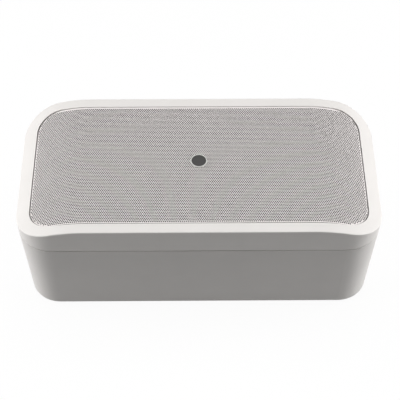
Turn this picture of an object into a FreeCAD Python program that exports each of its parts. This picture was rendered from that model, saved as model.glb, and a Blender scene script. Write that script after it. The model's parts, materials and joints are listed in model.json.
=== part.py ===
import FreeCAD, Part
import math
import os
import Sketcher

# Compact subwoofer: a drafted tub and a crowned front frame clamped together,
# a formed grille in the frame, and two long-throw woofers with a reflex port inside.
# Frame: +Z up towards the grille, +X along the long side, floor at Z = 0 under the feet.

SIZES = {
    # Enclosure, outside
    "width": 325.0,
    "depth": 157.5,
    "corner_radius": 33.5,
    "draft": 2.8,
    "foot_height": 3.0,
    "tub_height": 86.0,
    "frame_height": 29.5,
    "crown_end": 62.5,
    "crown_radius": 119.0,
    "rim_end": 12.2,
    "rim_side": 10.2,
    "opening_radius": 22.5,
    "rim_edge": 1.0,
    "base_edge": 1.5,
    "seam_edge": 0.5,
    # Enclosure, inside
    "wall": 3.5,
    "floor_thick": 4.0,
    "gasket_thick": 1.0,
    "gasket_inset": 1.2,
    "rim_skin": 3.0,
    "ledge_depth": 3.5,
    "ledge_width": 4.0,
    "baffle_rise": 3.0,
    "baffle_thick": 4.0,
    # Grille, its scrim and its blank badge
    "grille_gap": 0.7,
    "grille_thick": 1.0,
    "grille_sink": 0.3,
    "grille_rise": 2.0,
    "scrim_thick": 0.6,
    "badge_diameter": 15.0,
    "badge_height": 1.0,
    "badge_ring": 0.9,
    "badge_sink": 0.3,
    # Fasteners: shank and head radii, head height, and how far a cutter reaches past its hole
    "screw_radius": 1.5,
    "screw_head_radius": 3.0,
    "screw_head": 2.0,
    "screw_clearance": 0.4,
    "overcut": 4.0,
    "frame_screw_inset": 10.0,
    "frame_screw_length": 18.0,
    "boss_radius": 4.5,
    # Feet and bracket inserts
    "foot_radius": 8.0,
    "foot_seat": 1.0,
    "foot_inset": 31.0,
    "insert_spacing_x": 100.0,
    "insert_spacing_y": 50.0,
    "insert_radius": 3.0,
    "insert_bore": 1.65,
    "insert_length": 9.0,
    "insert_wall": 2.5,
    # Terminal bay at the back lower edge
    "bay_width": 60.0,
    "bay_depth": 49.8,
    "bay_height": 20.0,
    "bay_corner": 4.0,
    "plate_margin": 1.0,
    "plate_thick": 2.5,
    "plate_seal": 0.8,
    "plate_corner": 3.0,
    "plate_screw_inset": 4.5,
    "header_width": 24.0,
    "header_height": 11.0,
    "header_length": 13.0,
    "header_wall": 1.5,
    "socket_floor": 3.0,
    "pin_pitch": 5.08,
    "pin_side": 1.0,
    "pin_low": 1.2,
    "pin_clearance": 0.8,
    "pin_reach": 3.0,
    "pin_tail": 6.5,
    # Woofers, measured from the baffle's upper face
    "driver_seal": 1.0,
    "flange_radius": 48.0,
    "flange_thick": 2.5,
    "cutout_radius": 42.0,
    "basket_radius": 41.0,
    "basket_sheet": 2.0,
    "basket_neck": 29.0,
    "shelf_drop": 14.0,
    "basket_drop": 26.0,
    "window_width": 24.0,
    "lower_window_width": 12.0,
    "window_margin": 2.0,
    "driver_screw_radius": 44.8,
    "driver_screw_length": 12.0,
    "roll_radius": 3.5,
    "surround_thick": 0.7,
    "surround_land": 2.0,
    "cone_thick": 0.8,
    "cone_slope_thick": 1.2,
    "neck_drop": 10.0,
    "cap_radius": 16.0,
    "cap_rise": 5.0,
    "cap_thick": 0.7,
    "former_radius": 12.9,
    "former_thick": 0.5,
    "former_rise": 1.0,
    "coil_thick": 0.9,
    "coil_height": 15.0,
    "coil_bottom": 38.0,
    "coil_gap": 0.5,
    "spider_thick": 0.5,
    "spider_wave": 1.1,
    "spider_collar": 2.1,
    "spider_land": 7.0,
    "top_plate_radius": 30.0,
    "top_plate_thick": 5.0,
    "magnet_radius": 33.0,
    "magnet_bore": 18.0,
    "magnet_thick": 13.0,
    "yoke_radius": 30.0,
    "yoke_thick": 5.0,
    "pole_vent": 4.0,
    # Reflex port
    "port_radius": 16.0,
    "port_wall": 2.0,
    "port_length": 50.0,
    "port_flange": 27.0,
    "port_flange_thick": 3.0,
    "port_flare": 6.0,
    "port_inner_flare": 5.0,
    # Filter and wadding
    "board_length": 66.0,
    "board_corner": 3.0,
    "board_width": 58.0,
    "board_thick": 1.6,
    "board_lift": 6.0,
    "board_screw_inset": 5.0,
    "core_radius": 5.0,
    "core_flange_radius": 13.0,
    "core_flange": 2.0,
    "core_height": 18.0,
    "winding_radius": 12.0,
    "part_gap": 2.5,
    "capacitor_length": 32.0,
    "capacitor_width": 12.0,
    "capacitor_height": 19.0,
    "pad_length": 64.0,
    "pad_width": 96.0,
    "pad_thick": 24.0,
    # Inner leads in round jackets, and the tags under the baskets that they end on
    "input_radius": 2.6,
    "input_bend": 6.0,
    "input_reach": 6.0,
    "lead_radius": 1.3,
    "lead_bend": 4.0,
    "lead_side": 22.0,
    "lead_rise": 6.0,
    "lead_start": 8.0,
    "lead_pitch": 12.0,
    "tag_reach": 27.0,
    "tag_length": 8.0,
    "tag_width": 5.0,
    "tag_thick": 1.2,
}

# Counts of what repeats
PIN_COUNT = 4
CAPACITOR_COUNT = 2
WINDOW_PAIRS = 3
SPIDER_WAVES = 6

doc = FreeCAD.newDocument("compact_subwoofer")
sheet = doc.addObject("Spreadsheet::Sheet", "dims")


class Size:
    """A number and the spreadsheet expression that it follows."""

    def __init__(self, value, text):
        self.value = value
        self.text = text

    def __add__(self, other):
        other = size_of(other)
        return Size(self.value + other.value, f"({self.text} + {other.text})")

    def __sub__(self, other):
        other = size_of(other)
        return Size(self.value - other.value, f"({self.text} - {other.text})")

    def __mul__(self, other):
        other = size_of(other)
        return Size(self.value * other.value, f"({self.text} * {other.text})")

    def __truediv__(self, other):
        other = size_of(other)
        return Size(self.value / other.value, f"({self.text} / {other.text})")

    def __neg__(self):
        return Size(-self.value, f"(0 - {self.text})")

    def __radd__(self, other):
        return size_of(other) + self

    def __rsub__(self, other):
        return size_of(other) - self

    def __rmul__(self, other):
        return size_of(other) * self


def size_of(number):
    """A plain number as a Size."""
    if isinstance(number, Size):
        return number
    return Size(float(number), f"({float(number)!r})")


def tangent(angle):
    return Size(math.tan(math.radians(angle.value)), f"tan({angle.text} * 1 deg)")


def arcsine(ratio):
    """The angle in degrees whose sine is the ratio."""
    return Size(math.degrees(math.asin(ratio.value)), f"(asin({ratio.text}) / 1 deg)")


def root(square):
    return Size(math.sqrt(square.value), f"sqrt({square.text})")


def load_sizes():
    """Writes the driving dimensions to the sheet and returns them as Sizes by name."""
    sizes = {}
    for row, (alias, value) in enumerate(SIZES.items(), start=1):
        sheet.set(f"A{row}", alias)
        sheet.set(f"B{row}", str(value))
        sheet.setAlias(f"B{row}", alias)
        sizes[alias] = Size(value, f"dims.{alias}")
    doc.recompute()
    return sizes


def bind(item, prop, size):
    item.setExpression(prop, size_of(size).text)


def place(item, x=0, y=0, z=0):
    for axis, size in (("x", x), ("y", y), ("z", z)):
        bind(item, f"Placement.Base.{axis}", size)


# Sketch outlines
def pin_point(sketch, geo, point, x, y):
    """Fixes one point of a sketch at a place measured from the sketch's origin."""
    for kind, size in (("DistanceX", x), ("DistanceY", y)):
        size = size_of(size)
        index = sketch.addConstraint(Sketcher.Constraint(kind, -1, 1, geo, point, size.value))
        bind(sketch, f"Constraints[{index}]", size)


def pin_one(sketch, geo, point, kind, size):
    size = size_of(size)
    index = sketch.addConstraint(Sketcher.Constraint(kind, -1, 1, geo, point, size.value))
    bind(sketch, f"Constraints[{index}]", size)


def vector(x, y):
    return FreeCAD.Vector(size_of(x).value, size_of(y).value, 0)


def draw_path(sketch, corners, closed=True):
    """An outline, or an open run that ends in a line. A corner is (x, y), or (x, y, centre x, centre y)
    where an arc leaves it for the next corner, or (x, y, centre x, centre y, -1) where that arc turns
    clockwise."""
    count = len(corners)
    starts = corners if closed else corners[:-1]
    shapes = []
    for i, corner in enumerate(starts):
        start = vector(*corner[:2])
        end = vector(*corners[(i + 1) % count][:2])
        if len(corner) == 2:
            shapes.append(Part.LineSegment(start, end))
            continue
        centre = vector(*corner[2:4])
        first, last = (start, end) if len(corner) == 4 else (end, start)
        angles = [math.atan2(p.y - centre.y, p.x - centre.x) for p in (first, last)]
        circle = Part.Circle(centre, FreeCAD.Vector(0, 0, 1), (start - centre).Length)
        shapes.append(Part.ArcOfCircle(circle, angles[0], angles[1]))
    base = sketch.GeometryCount
    for shape in shapes:
        sketch.addGeometry(shape, False)
    for i, corner in enumerate(starts if closed else starts[:-1]):
        following = corners[(i + 1) % count]
        clockwise = len(corner) == 5
        next_clockwise = len(following) == 5
        end_point = 1 if clockwise else 2
        next_start = 2 if next_clockwise else 1
        next_geo = base + (i + 1) % count
        sketch.addConstraint(Sketcher.Constraint("Coincident", base + i, end_point, next_geo, next_start))
    for i, corner in enumerate(starts):
        start_point = 2 if len(corner) == 5 else 1
        before = corners[i - 1]
        if len(before) > 2 and len(corner) == 2:
            follow_arc_end(sketch, base + i, start_point, before, corner)
            continue
        pin_point(sketch, base + i, start_point, *corner[:2])
        if len(corner) > 2:
            pin_point(sketch, base + i, 3, *corner[2:4])
    if not closed:
        pin_point(sketch, base + count - 2, 2, *corners[-1])


def follow_arc_end(sketch, geo, point, arc, corner):
    """An arc's end has one freedom left, so only its longer step from the centre is fixed."""
    step_x = abs(size_of(corner[0]).value - size_of(arc[2]).value)
    step_y = abs(size_of(corner[1]).value - size_of(arc[3]).value)
    if step_x < step_y:
        pin_one(sketch, geo, point, "DistanceX", corner[0])
    else:
        pin_one(sketch, geo, point, "DistanceY", corner[1])


def round_rectangle(width, depth, radius, mid_x=0, mid_y=0):
    """Corners of a rectangle with rounded corners about a middle point, counter-clockwise."""
    mid_x = size_of(mid_x)
    mid_y = size_of(mid_y)
    right = mid_x + width / 2
    left = mid_x - width / 2
    high = mid_y + depth / 2
    low = mid_y - depth / 2
    return [
        (left + radius, low), (right - radius, low, right - radius, low + radius),
        (right, low + radius), (right, high - radius, right - radius, high - radius),
        (right - radius, high), (left + radius, high, left + radius, high - radius),
        (left, high - radius), (left, low + radius, left + radius, low + radius),
    ]


def bay_outline(half, front, back, radius):
    """A bay that is rounded at its front corners and square at its back, counter-clockwise."""
    turn = front + radius
    return [
        (-half, back), (-half, turn, radius - half, turn), (radius - half, front),
        (half - radius, front, half - radius, turn), (half, turn), (half, back),
    ]


def free_sketch(name, outlines, upright=False):
    """A sketch outside any body: level, or upright in the XZ plane."""
    sketch = doc.addObject("Sketcher::SketchObject", f"{name}_sketch")
    if upright:
        turn = FreeCAD.Rotation(FreeCAD.Vector(1, 0, 0), 90)
        sketch.Placement = FreeCAD.Placement(FreeCAD.Vector(), turn)
    for outline in outlines:
        draw_path(sketch, outline)
    return sketch


def prism(name, outlines, z, height, taper=0):
    """A level outline drawn up from z, its sides leaning out by the taper."""
    sketch = free_sketch(name, outlines)
    place(sketch, 0, 0, z)
    solid = doc.addObject("Part::Extrusion", name)
    solid.Base = sketch
    solid.DirMode = "Normal"
    solid.Solid = True
    bind(solid, "LengthFwd", height)
    bind(solid, "TaperAngle", taper)
    return solid


def cut(name, base, *tools):
    return join("Part::Cut", name, base, *tools)


def join(kind, name, base, *tools):
    """base with each tool cut from it, fused to it or kept in common, one after another."""
    for number, tool in enumerate(tools):
        last = number == len(tools) - 1
        step = doc.addObject(kind, name if last else f"{name}_step{number}")
        step.Base = base
        step.Tool = tool
        base = step
    return base


s = load_sizes()

# Levels and outlines that the pieces share
base_z = s["foot_height"]
seam_z = base_z + s["tub_height"]
frame_z = seam_z + s["gasket_thick"]
top_z = seam_z + s["frame_height"]
under_baffle_z = frame_z + s["baffle_rise"]
baffle_z = under_baffle_z + s["baffle_thick"]


half_flat = s["width"] / 2 - s["crown_end"]


def crown_drop(inset):
    """How far the crown has rolled down at the ends, moved in from the rim's outer edge."""
    reach = s["crown_end"] - inset
    return s["crown_radius"] - root(s["crown_radius"] * s["crown_radius"] - reach * reach)


end_drop = crown_drop(size_of(0))
ledge_z = top_z - crown_drop(s["rim_end"]) - s["ledge_depth"]


def skin_outline(z, inset):
    """The enclosure's outline at a height, moved in from the drafted outer skin. The skin is at its
    full depth at the top of the crown and at its full width where the crown's ends meet it."""
    step = (top_z - z) * tangent(s["draft"]) + inset
    width_step = step - end_drop * tangent(s["draft"])
    return round_rectangle(s["width"] - 2 * width_step, s["depth"] - 2 * step, s["corner_radius"] - step)


def face_outline(inset):
    """An upright-walled outline, moved in from the edge of the opening inside the rim."""
    length = s["width"] - 2 * (s["rim_end"] + inset)
    across = s["depth"] - 2 * (s["rim_side"] + inset)
    return round_rectangle(length, across, s["opening_radius"] - inset)


def roll_profile(peak_z, radius, drop):
    """The section under a face that is level in the middle and rolls down at both ends on arcs of
    the radius, moved in by drop."""
    rolled = radius - drop
    reach = s["width"] / 2 + s["wall"]
    past_flat = reach - half_flat
    centre_z = peak_z - radius
    end_z = centre_z + root(rolled * rolled - past_flat * past_flat)
    return [
        (-reach, base_z), (reach, base_z), (reach, end_z, half_flat, centre_z),
        (half_flat, peak_z - drop), (-half_flat, peak_z - drop, -half_flat, centre_z), (-reach, end_z),
    ]


def crown_block(name, drop):
    """Everything under the rim's crown, straight along Y."""
    solid = doc.addObject("Part::Extrusion", name)
    solid.Base = free_sketch(name, [roll_profile(top_z, s["crown_radius"], drop)], upright=True)
    solid.DirMode = "Normal"
    solid.Solid = True
    solid.Symmetric = True
    bind(solid, "LengthFwd", s["depth"] * 2)
    return solid


# The grille rises in a dome between the long sides and rolls down harder than the rim, so that it
# comes level with the rim again at the middle of each side
grille_half_depth = s["depth"] / 2 - s["rim_side"] - s["grille_gap"]
grille_peak_z = top_z - s["grille_sink"] + s["grille_rise"]
dome_radius = (grille_half_depth * grille_half_depth / s["grille_rise"] + s["grille_rise"]) / 2
grille_roll_reach = s["crown_end"] - s["rim_end"] - s["grille_gap"]
grille_roll_fall = crown_drop(s["rim_end"] + s["grille_gap"]) + s["grille_rise"]
grille_roll = (grille_roll_reach * grille_roll_reach / grille_roll_fall + grille_roll_fall) / 2


def dome_block(name, drop):
    """Everything under the grille's domed face, moved in by drop."""
    solid = doc.addObject("Part::Revolution", name)
    solid.Source = free_sketch(name, [roll_profile(grille_peak_z, grille_roll, drop)], upright=True)
    solid.Axis = FreeCAD.Vector(1, 0, 0)
    bind(solid, "Base.z", grille_peak_z - dome_radius)
    bind(solid, "Angle", 2 * arcsine(s["depth"] / dome_radius))
    solid.Symmetric = True
    solid.Solid = True
    return solid


# Bodies and their features
def new_body(label):
    body = doc.addObject("PartDesign::Body", label)
    body.Label = label
    return body


def origin_plane(body, role):
    return next(item for item in body.Origin.OriginFeatures if item.Role == role)


def body_sketch(body, name, outlines, circles=(), role="XY_Plane", offset=0):
    """A sketch on one of the body's own planes, moved along the plane's normal."""
    sketch = body.newObject("Sketcher::SketchObject", f"{name}_sketch")
    sketch.AttachmentSupport = (origin_plane(body, role), [""])
    sketch.MapMode = "FlatFace"
    bind(sketch, "AttachmentOffset.Base.z", offset)
    for outline in outlines:
        draw_path(sketch, outline)
    for x, y, radius in circles:
        draw_circle(sketch, x, y, radius)
    return sketch


def draw_circle(sketch, x, y, radius):
    radius = size_of(radius)
    circle = Part.Circle(vector(x, y), FreeCAD.Vector(0, 0, 1), radius.value)
    geo = sketch.addGeometry(circle, False)
    pin_point(sketch, geo, 3, x, y)
    index = sketch.addConstraint(Sketcher.Constraint("Radius", geo, radius.value))
    bind(sketch, f"Constraints[{index}]", radius)


def pad(body, name, sketch, length, taper=0):
    feature = body.newObject("PartDesign::Pad", name)
    feature.Profile = sketch
    bind(feature, "Length", length)
    bind(feature, "TaperAngle", taper)
    return feature


def pocket(body, name, sketch, length, upward=False, taper=0):
    """Cuts against the sketch's normal, or along it when upward."""
    feature = body.newObject("PartDesign::Pocket", name)
    feature.Profile = sketch
    feature.Reversed = upward
    bind(feature, "Length", length)
    bind(feature, "TaperAngle", taper)
    return feature


def turned(label, corners):
    """A body turned about its own vertical axis from (radius, height) corners."""
    body = new_body(label)
    sketch = body_sketch(body, label, [corners], role="XZ_Plane")
    feature = body.newObject("PartDesign::Revolution", f"{label}_turn")
    feature.Profile = sketch
    feature.ReferenceAxis = (sketch, ["V_Axis"])
    feature.Angle = 360
    return body


def piped(label, run, run_role, run_offset, circle, circle_role, circle_offset):
    """A round section carried along an open run, each on its own plane."""
    body = new_body(label)
    spine = body_sketch(body, f"{label}_run", [], role=run_role, offset=run_offset)
    draw_path(spine, run, closed=False)
    section = body_sketch(body, label, [], [circle], role=circle_role, offset=circle_offset)
    feature = body.newObject("PartDesign::AdditivePipe", f"{label}_pipe")
    feature.Profile = section
    feature.Spine = spine
    return body


def rectangle(x0, y0, x1, y1):
    return [(x0, y0), (x1, y0), (x1, y1), (x0, y1)]


def grid(x, y):
    """The four points at plus and minus x and y."""
    return [(x * sx, y * sy) for sx in (-1, 1) for sy in (-1, 1)]


# Primitives
def block(name, length, width, height, x, y, z):
    """A box centred on x and y, standing on z."""
    item = doc.addObject("Part::Box", name)
    bind(item, "Length", length)
    bind(item, "Width", width)
    bind(item, "Height", height)
    place(item, x - length / 2, y - width / 2, z)
    return item


def rod(name, radius, height, x, y, z, along_y=False):
    """A cylinder standing on z, or lying along +Y from y."""
    item = doc.addObject("Part::Cylinder", name)
    bind(item, "Radius", radius)
    bind(item, "Height", height)
    if along_y:
        item.Placement.Rotation = FreeCAD.Rotation(FreeCAD.Vector(1, 0, 0), -90)
    place(item, x, y, z)
    return item


def group(name, items):
    """Several solids as one object; those that touch become one."""
    item = doc.addObject("Part::MultiFuse", name)
    item.Shapes = items
    return item


def screws(label, points, z, length):
    """Pan-head screws standing head up on z at the points."""
    pieces = []
    for number, (x, y) in enumerate(points):
        pieces.append(rod(f"{label}_head{number}", s["screw_head_radius"], s["screw_head"], x, y, z))
        pieces.append(rod(f"{label}_shank{number}", s["screw_radius"], length, x, y, z - length))
    return group(label, pieces)


def drill(name, radius, height, points, z):
    """Cutters of one radius at the points."""
    rods = [rod(f"{name}{number}", radius, height, x, y, z) for number, (x, y) in enumerate(points)]
    return group(name, rods)


zero = size_of(0)
well_end = s["width"] / 2 - s["rim_end"] - s["ledge_width"]
driver_x = (s["port_flange"] + well_end) / 2
driver_centres = {"left": -driver_x, "right": driver_x}
screw_inset = s["ledge_width"] + s["frame_screw_inset"]
frame_screw_x = s["width"] / 2 - s["rim_end"] - screw_inset
frame_screw_y = s["depth"] / 2 - s["rim_side"] - screw_inset
frame_points = grid(frame_screw_x, frame_screw_y) + [(zero, -frame_screw_y), (zero, frame_screw_y)]
clear_radius = s["screw_radius"] + s["screw_clearance"]
half_turn = math.sqrt(0.5)
driver_points = {
    side: [(centre + x, y) for x, y in grid(s["driver_screw_radius"] * half_turn,
                                            s["driver_screw_radius"] * half_turn)]
    for side, centre in driver_centres.items()
}

# Front frame
frame_block = prism("frame_block", [skin_outline(frame_z, 0)], frame_z, s["frame_height"], s["draft"])
frame_skin = join("Part::Common", "frame_skin", frame_block, crown_block("frame_crown", zero))
doc.recompute()
rim_low = (top_z - end_drop - s["rim_edge"]).value
frame_edges = []
for number, edge in enumerate(frame_skin.Shape.Edges, start=1):
    across = edge.BoundBox.XLength < s["rim_edge"].value and abs(edge.CenterOfMass.x) < well_end.value
    if edge.BoundBox.ZMin > rim_low and not across:
        frame_edges.append((number, s["rim_edge"].value, s["rim_edge"].value))
    elif edge.BoundBox.ZMax < frame_z.value + s["seam_edge"].value:
        frame_edges.append((number, s["seam_edge"].value, s["seam_edge"].value))
frame_round = doc.addObject("Part::Fillet", "frame_round")
frame_round.Base = frame_skin
frame_round.Edges = frame_edges

recess = prism("recess", [face_outline(zero)], ledge_z, s["frame_height"])
well = prism("well", [face_outline(s["ledge_width"])], baffle_z, s["frame_height"])
inner_skin = [skin_outline(frame_z, s["wall"])]
underside = prism("underside", inner_skin, frame_z, s["baffle_rise"], s["draft"])
channel_outer = prism("channel_outer", inner_skin, frame_z, s["frame_height"], s["draft"])
channel_inner = prism("channel_inner", [face_outline(-s["rim_skin"])], frame_z, s["frame_height"])
channel_ring = cut("channel_ring", channel_outer, channel_inner)
channel = join("Part::Common", "channel", channel_ring, crown_block("channel_crown", s["rim_skin"]))
through = s["baffle_thick"] + 2 * s["overcut"]
below = under_baffle_z - s["overcut"]
cutout_points = [(x, zero) for x in driver_centres.values()]
cutouts = drill("cutouts", s["cutout_radius"], through, cutout_points, below)
port_hole = rod("port_hole", s["port_radius"] + s["port_wall"], through, zero, zero, below)
frame_holes = drill("frame_holes", clear_radius, through, frame_points, below)
pilot_points = driver_points["left"] + driver_points["right"]
pilot_holes = drill("pilot_holes", s["screw_radius"], through, pilot_points, below)
front_frame = cut("front_frame", frame_round, recess, well, underside, channel, cutouts, port_hole,
                  frame_holes, pilot_holes)

# Seam gasket, seen as the dark line between tub and frame
seam_outlines = [skin_outline(seam_z, s["gasket_inset"]), skin_outline(seam_z, s["wall"])]
seam_gasket = prism("seam_gasket", seam_outlines, seam_z, s["gasket_thick"])

# Grille, its scrim and its badge
inner_inset = s["grille_gap"] + s["grille_thick"]
scrim_inset = inner_inset + s["grille_thick"]
outer_wall = prism("grille_outer_wall", [face_outline(s["grille_gap"])], ledge_z, s["frame_height"])
grille_shell = join("Part::Common", "grille_shell", outer_wall, dome_block("grille_face", zero))
inner_wall = prism("grille_inner_wall", [face_outline(inner_inset)], ledge_z, s["frame_height"])
grille_back = dome_block("grille_back", s["grille_thick"])
grille_hollow = join("Part::Common", "grille_hollow", inner_wall, grille_back)
grille = cut("grille", grille_shell, grille_hollow)
scrim_wall = prism("scrim_wall", [face_outline(scrim_inset)], ledge_z, s["frame_height"])
scrim_block = join("Part::Common", "scrim_block", scrim_wall, dome_block("scrim_face", s["grille_thick"]))
scrim_back = dome_block("scrim_back", s["grille_thick"] + s["scrim_thick"])
grille_scrim = cut("grille_scrim", scrim_block, scrim_back)
badge_radius = s["badge_diameter"] / 2
badge_field = badge_radius - s["badge_ring"]
badge_low = s["badge_height"] - s["badge_sink"]
badge_blank = turned("badge_blank", [
    (zero, -s["badge_height"]), (badge_radius, -s["badge_height"]), (badge_radius, s["badge_height"]),
    (badge_field, s["badge_height"]), (badge_field, badge_low), (zero, badge_low),
])
place(badge_blank, zero, zero, grille_peak_z)
grille_badge = cut("grille_badge", badge_blank, dome_block("badge_seat", zero))

# Rear cabinet
floor_z = base_z + s["floor_thick"]
half_floor_z = base_z + s["floor_thick"] / 2
rear_cabinet = new_body("rear_cabinet")
tub_sketch = body_sketch(rear_cabinet, "tub_block", [skin_outline(base_z, 0)], offset=base_z)
tub_block = pad(rear_cabinet, "tub_block", tub_sketch, s["tub_height"], s["draft"])
doc.recompute()
tub_middle = (base_z + seam_z).value / 2
base_names = []
for number, edge in enumerate(tub_block.Shape.Edges, start=1):
    if edge.BoundBox.ZMax < tub_middle:
        base_names.append(f"Edge{number}")
tub_round = rear_cabinet.newObject("PartDesign::Fillet", "tub_round")
tub_round.Base = (tub_block, base_names)
bind(tub_round, "Radius", s["base_edge"])
doc.recompute()
lip_names = []
for number, edge in enumerate(tub_round.Shape.Edges, start=1):
    if edge.BoundBox.ZMin > seam_z.value - s["seam_edge"].value:
        lip_names.append(f"Edge{number}")
lip_round = rear_cabinet.newObject("PartDesign::Fillet", "lip_round")
lip_round.Base = (tub_round, lip_names)
bind(lip_round, "Radius", s["seam_edge"])
cavity_sketch = body_sketch(rear_cabinet, "tub_cavity", [skin_outline(seam_z, s["wall"])], offset=seam_z)
pocket(rear_cabinet, "tub_cavity", cavity_sketch, s["tub_height"] - s["floor_thick"], taper=-s["draft"])


def raise_from_floor(name, outlines, circles, top):
    """Adds bosses or walls to the tub, rooted in the floor's thickness."""
    sketch = body_sketch(rear_cabinet, name, outlines, circles, offset=half_floor_z)
    pad(rear_cabinet, name, sketch, top - half_floor_z)


def sink(name, points, radius, z, depth, upward=False):
    """Cuts round holes in the tub at the points, down from z or upward from it."""
    circles = [(x, y, radius) for x, y in points]
    sketch = body_sketch(rear_cabinet, name, [], circles, offset=z)
    pocket(rear_cabinet, name, sketch, depth, upward)


def pierce_bay(name, outlines, circles):
    """Cuts through the bay's front wall along Y."""
    sketch = body_sketch(rear_cabinet, name, outlines, circles, role="XZ_Plane",
                         offset=s["wall"] + s["overcut"] - bay_front)
    pocket(rear_cabinet, name, sketch, s["wall"] + 2 * s["overcut"])


bay_half = s["bay_width"] / 2
base_inset = (top_z - base_z) * tangent(s["draft"])
bay_back = s["depth"] / 2 - base_inset - s["wall"] / 2
bay_front = s["depth"] / 2 - s["bay_depth"]
bay_top = base_z + s["bay_height"]
bay_shell = bay_outline(bay_half + s["wall"], bay_front - s["wall"], bay_back, s["bay_corner"] + s["wall"])
raise_from_floor("bay_shell", [bay_shell], [], bay_top + s["wall"])
boss_circles = [(x, y, s["boss_radius"]) for x, y in frame_points]
raise_from_floor("bosses", [], boss_circles, under_baffle_z)
sink("boss_pilots", frame_points, s["screw_radius"], under_baffle_z, s["frame_screw_length"])
insert_points = grid(s["insert_spacing_x"] / 2, s["insert_spacing_y"] / 2)
insert_boss = s["insert_radius"] + s["insert_wall"]
insert_circles = [(x, y, insert_boss) for x, y in insert_points]
raise_from_floor("insert_bosses", [], insert_circles, base_z + s["insert_length"] + s["insert_wall"])

# The filter board and the wadding each lie midway between the insert bosses and an end wall
board_z = floor_z + s["board_lift"]
floor_half = s["width"] / 2 - s["wall"] - (top_z - end_drop - floor_z) * tangent(s["draft"])
floor_middle = (s["insert_spacing_x"] / 2 + insert_boss + floor_half) / 2
board_x = -floor_middle
board_dx = s["board_length"] / 2 - s["board_screw_inset"]
board_dy = s["board_width"] / 2 - s["board_screw_inset"]
board_points = [(board_x + x, y) for x, y in grid(board_dx, board_dy)]
post_circles = [(x, y, s["screw_head_radius"]) for x, y in board_points]
raise_from_floor("board_posts", [], post_circles, board_z)
sink("post_pilots", board_points, s["screw_radius"], board_z, s["board_lift"])
bay_sketch = body_sketch(rear_cabinet, "bay", [bay_outline(bay_half, bay_front, s["depth"], s["bay_corner"])])
pocket(rear_cabinet, "bay", bay_sketch, bay_top, upward=True)
sink("insert_bores", insert_points, s["insert_radius"], base_z, s["insert_length"], upward=True)
foot_points = grid(s["width"] / 2 - s["foot_inset"], s["depth"] / 2 - s["foot_inset"])
sink("foot_seats", foot_points, s["foot_radius"], base_z, s["foot_seat"], upward=True)
header_z = base_z + s["bay_height"] / 2
socket_width = s["header_width"] - 2 * s["header_wall"]
socket_height = s["header_height"] - 2 * s["header_wall"]
pin_row = s["pin_pitch"] * (PIN_COUNT - 1)
pin_z = header_z - socket_height / 2 + s["pin_low"]
slot_half = (pin_row + s["pin_side"]) / 2 + s["pin_clearance"]
slot_top = pin_z + s["pin_side"] + s["pin_clearance"]
slot = rectangle(-slot_half, pin_z - s["pin_clearance"], slot_half, slot_top)
pierce_bay("lead_slot", [slot], [])
plate_width = s["bay_width"] - 2 * (s["bay_corner"] + s["plate_margin"])
plate_height = s["bay_height"] - 2 * s["plate_margin"]
plate_screw_x = plate_width / 2 - s["plate_screw_inset"]
plate_points = [(-plate_screw_x, header_z), (plate_screw_x, header_z)]
pierce_bay("plate_pilots", [], [(x, z, s["screw_radius"]) for x, z in plate_points])

# Terminal plate on its gasket, header and pins, facing +Y in the bay
plate_back = bay_front + s["plate_seal"]
plate_front = plate_back + s["plate_thick"]
plate_outline = round_rectangle(plate_width, plate_height, s["plate_corner"], zero, header_z)
plate_holes = [(x, z, clear_radius) for x, z in plate_points]


def bay_plate(label, front, thick):
    """A flat piece of the terminal plate's outline, with its screw holes and lead slot."""
    body = new_body(label)
    sketch = body_sketch(body, label, [plate_outline, slot], plate_holes, role="XZ_Plane", offset=-front)
    pad(body, f"{label}_pad", sketch, thick)
    return body


terminal_plate = bay_plate("terminal_plate", plate_front, s["plate_thick"])
terminal_gasket = bay_plate("terminal_gasket", plate_back, s["plate_seal"])
header_outer = block("header_outer", s["header_width"], s["header_length"], s["header_height"], zero,
                     plate_front + s["header_length"] / 2, header_z - s["header_height"] / 2)
socket_back = plate_front + s["socket_floor"]
header_socket = block("header_socket_space", socket_width, s["header_length"], socket_height, zero,
                      socket_back + s["header_length"] / 2, header_z - socket_height / 2)
pin_length = s["pin_tail"] + s["plate_thick"] + s["header_length"] - s["pin_reach"]
pin_y = plate_back - s["pin_tail"] + pin_length / 2
pins = []
for number in range(PIN_COUNT):
    pin_x = s["pin_pitch"] * number - pin_row / 2
    pins.append(block(f"pin{number}", s["pin_side"], pin_length, s["pin_side"], pin_x, pin_y, pin_z))
header_pins = group("header_pins", pins)
terminal_header = cut("terminal_header", header_outer, header_socket, header_pins)
terminal_pieces = []
shank_length = s["plate_thick"] + s["plate_seal"] + s["wall"]
shank_y = plate_front - shank_length
for number, (x, z) in enumerate(plate_points):
    head = rod(f"terminal_head{number}", s["screw_head_radius"], s["screw_head"], x, plate_front, z, True)
    shank = rod(f"terminal_shank{number}", s["screw_radius"], shank_length, x, shank_y, z, True)
    terminal_pieces += [head, shank]
terminal_screws = group("terminal_screws", terminal_pieces)

# Feet, inserts and frame screws
feet = []
foot_names = ("foot_front_left", "foot_back_left", "foot_front_right", "foot_back_right")
for label, (x, y) in zip(foot_names, foot_points):
    foot = turned(label, [
        (zero, zero), (s["foot_radius"] - s["foot_seat"], zero), (s["foot_radius"], s["foot_seat"]),
        (s["foot_radius"], s["foot_height"] + s["foot_seat"]), (zero, s["foot_height"] + s["foot_seat"]),
    ])
    place(foot, x, y, zero)
    feet.append(foot)
insert_rods = [rod(f"insert{number}", s["insert_radius"], s["insert_length"], x, y, base_z)
               for number, (x, y) in enumerate(insert_points)]
bracket_inserts = cut("bracket_inserts", group("insert_blanks", insert_rods),
                      drill("insert_threads", s["insert_bore"], s["insert_length"], insert_points, base_z))
frame_screws = screws("frame_screws", frame_points, baffle_z, s["frame_screw_length"])

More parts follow.
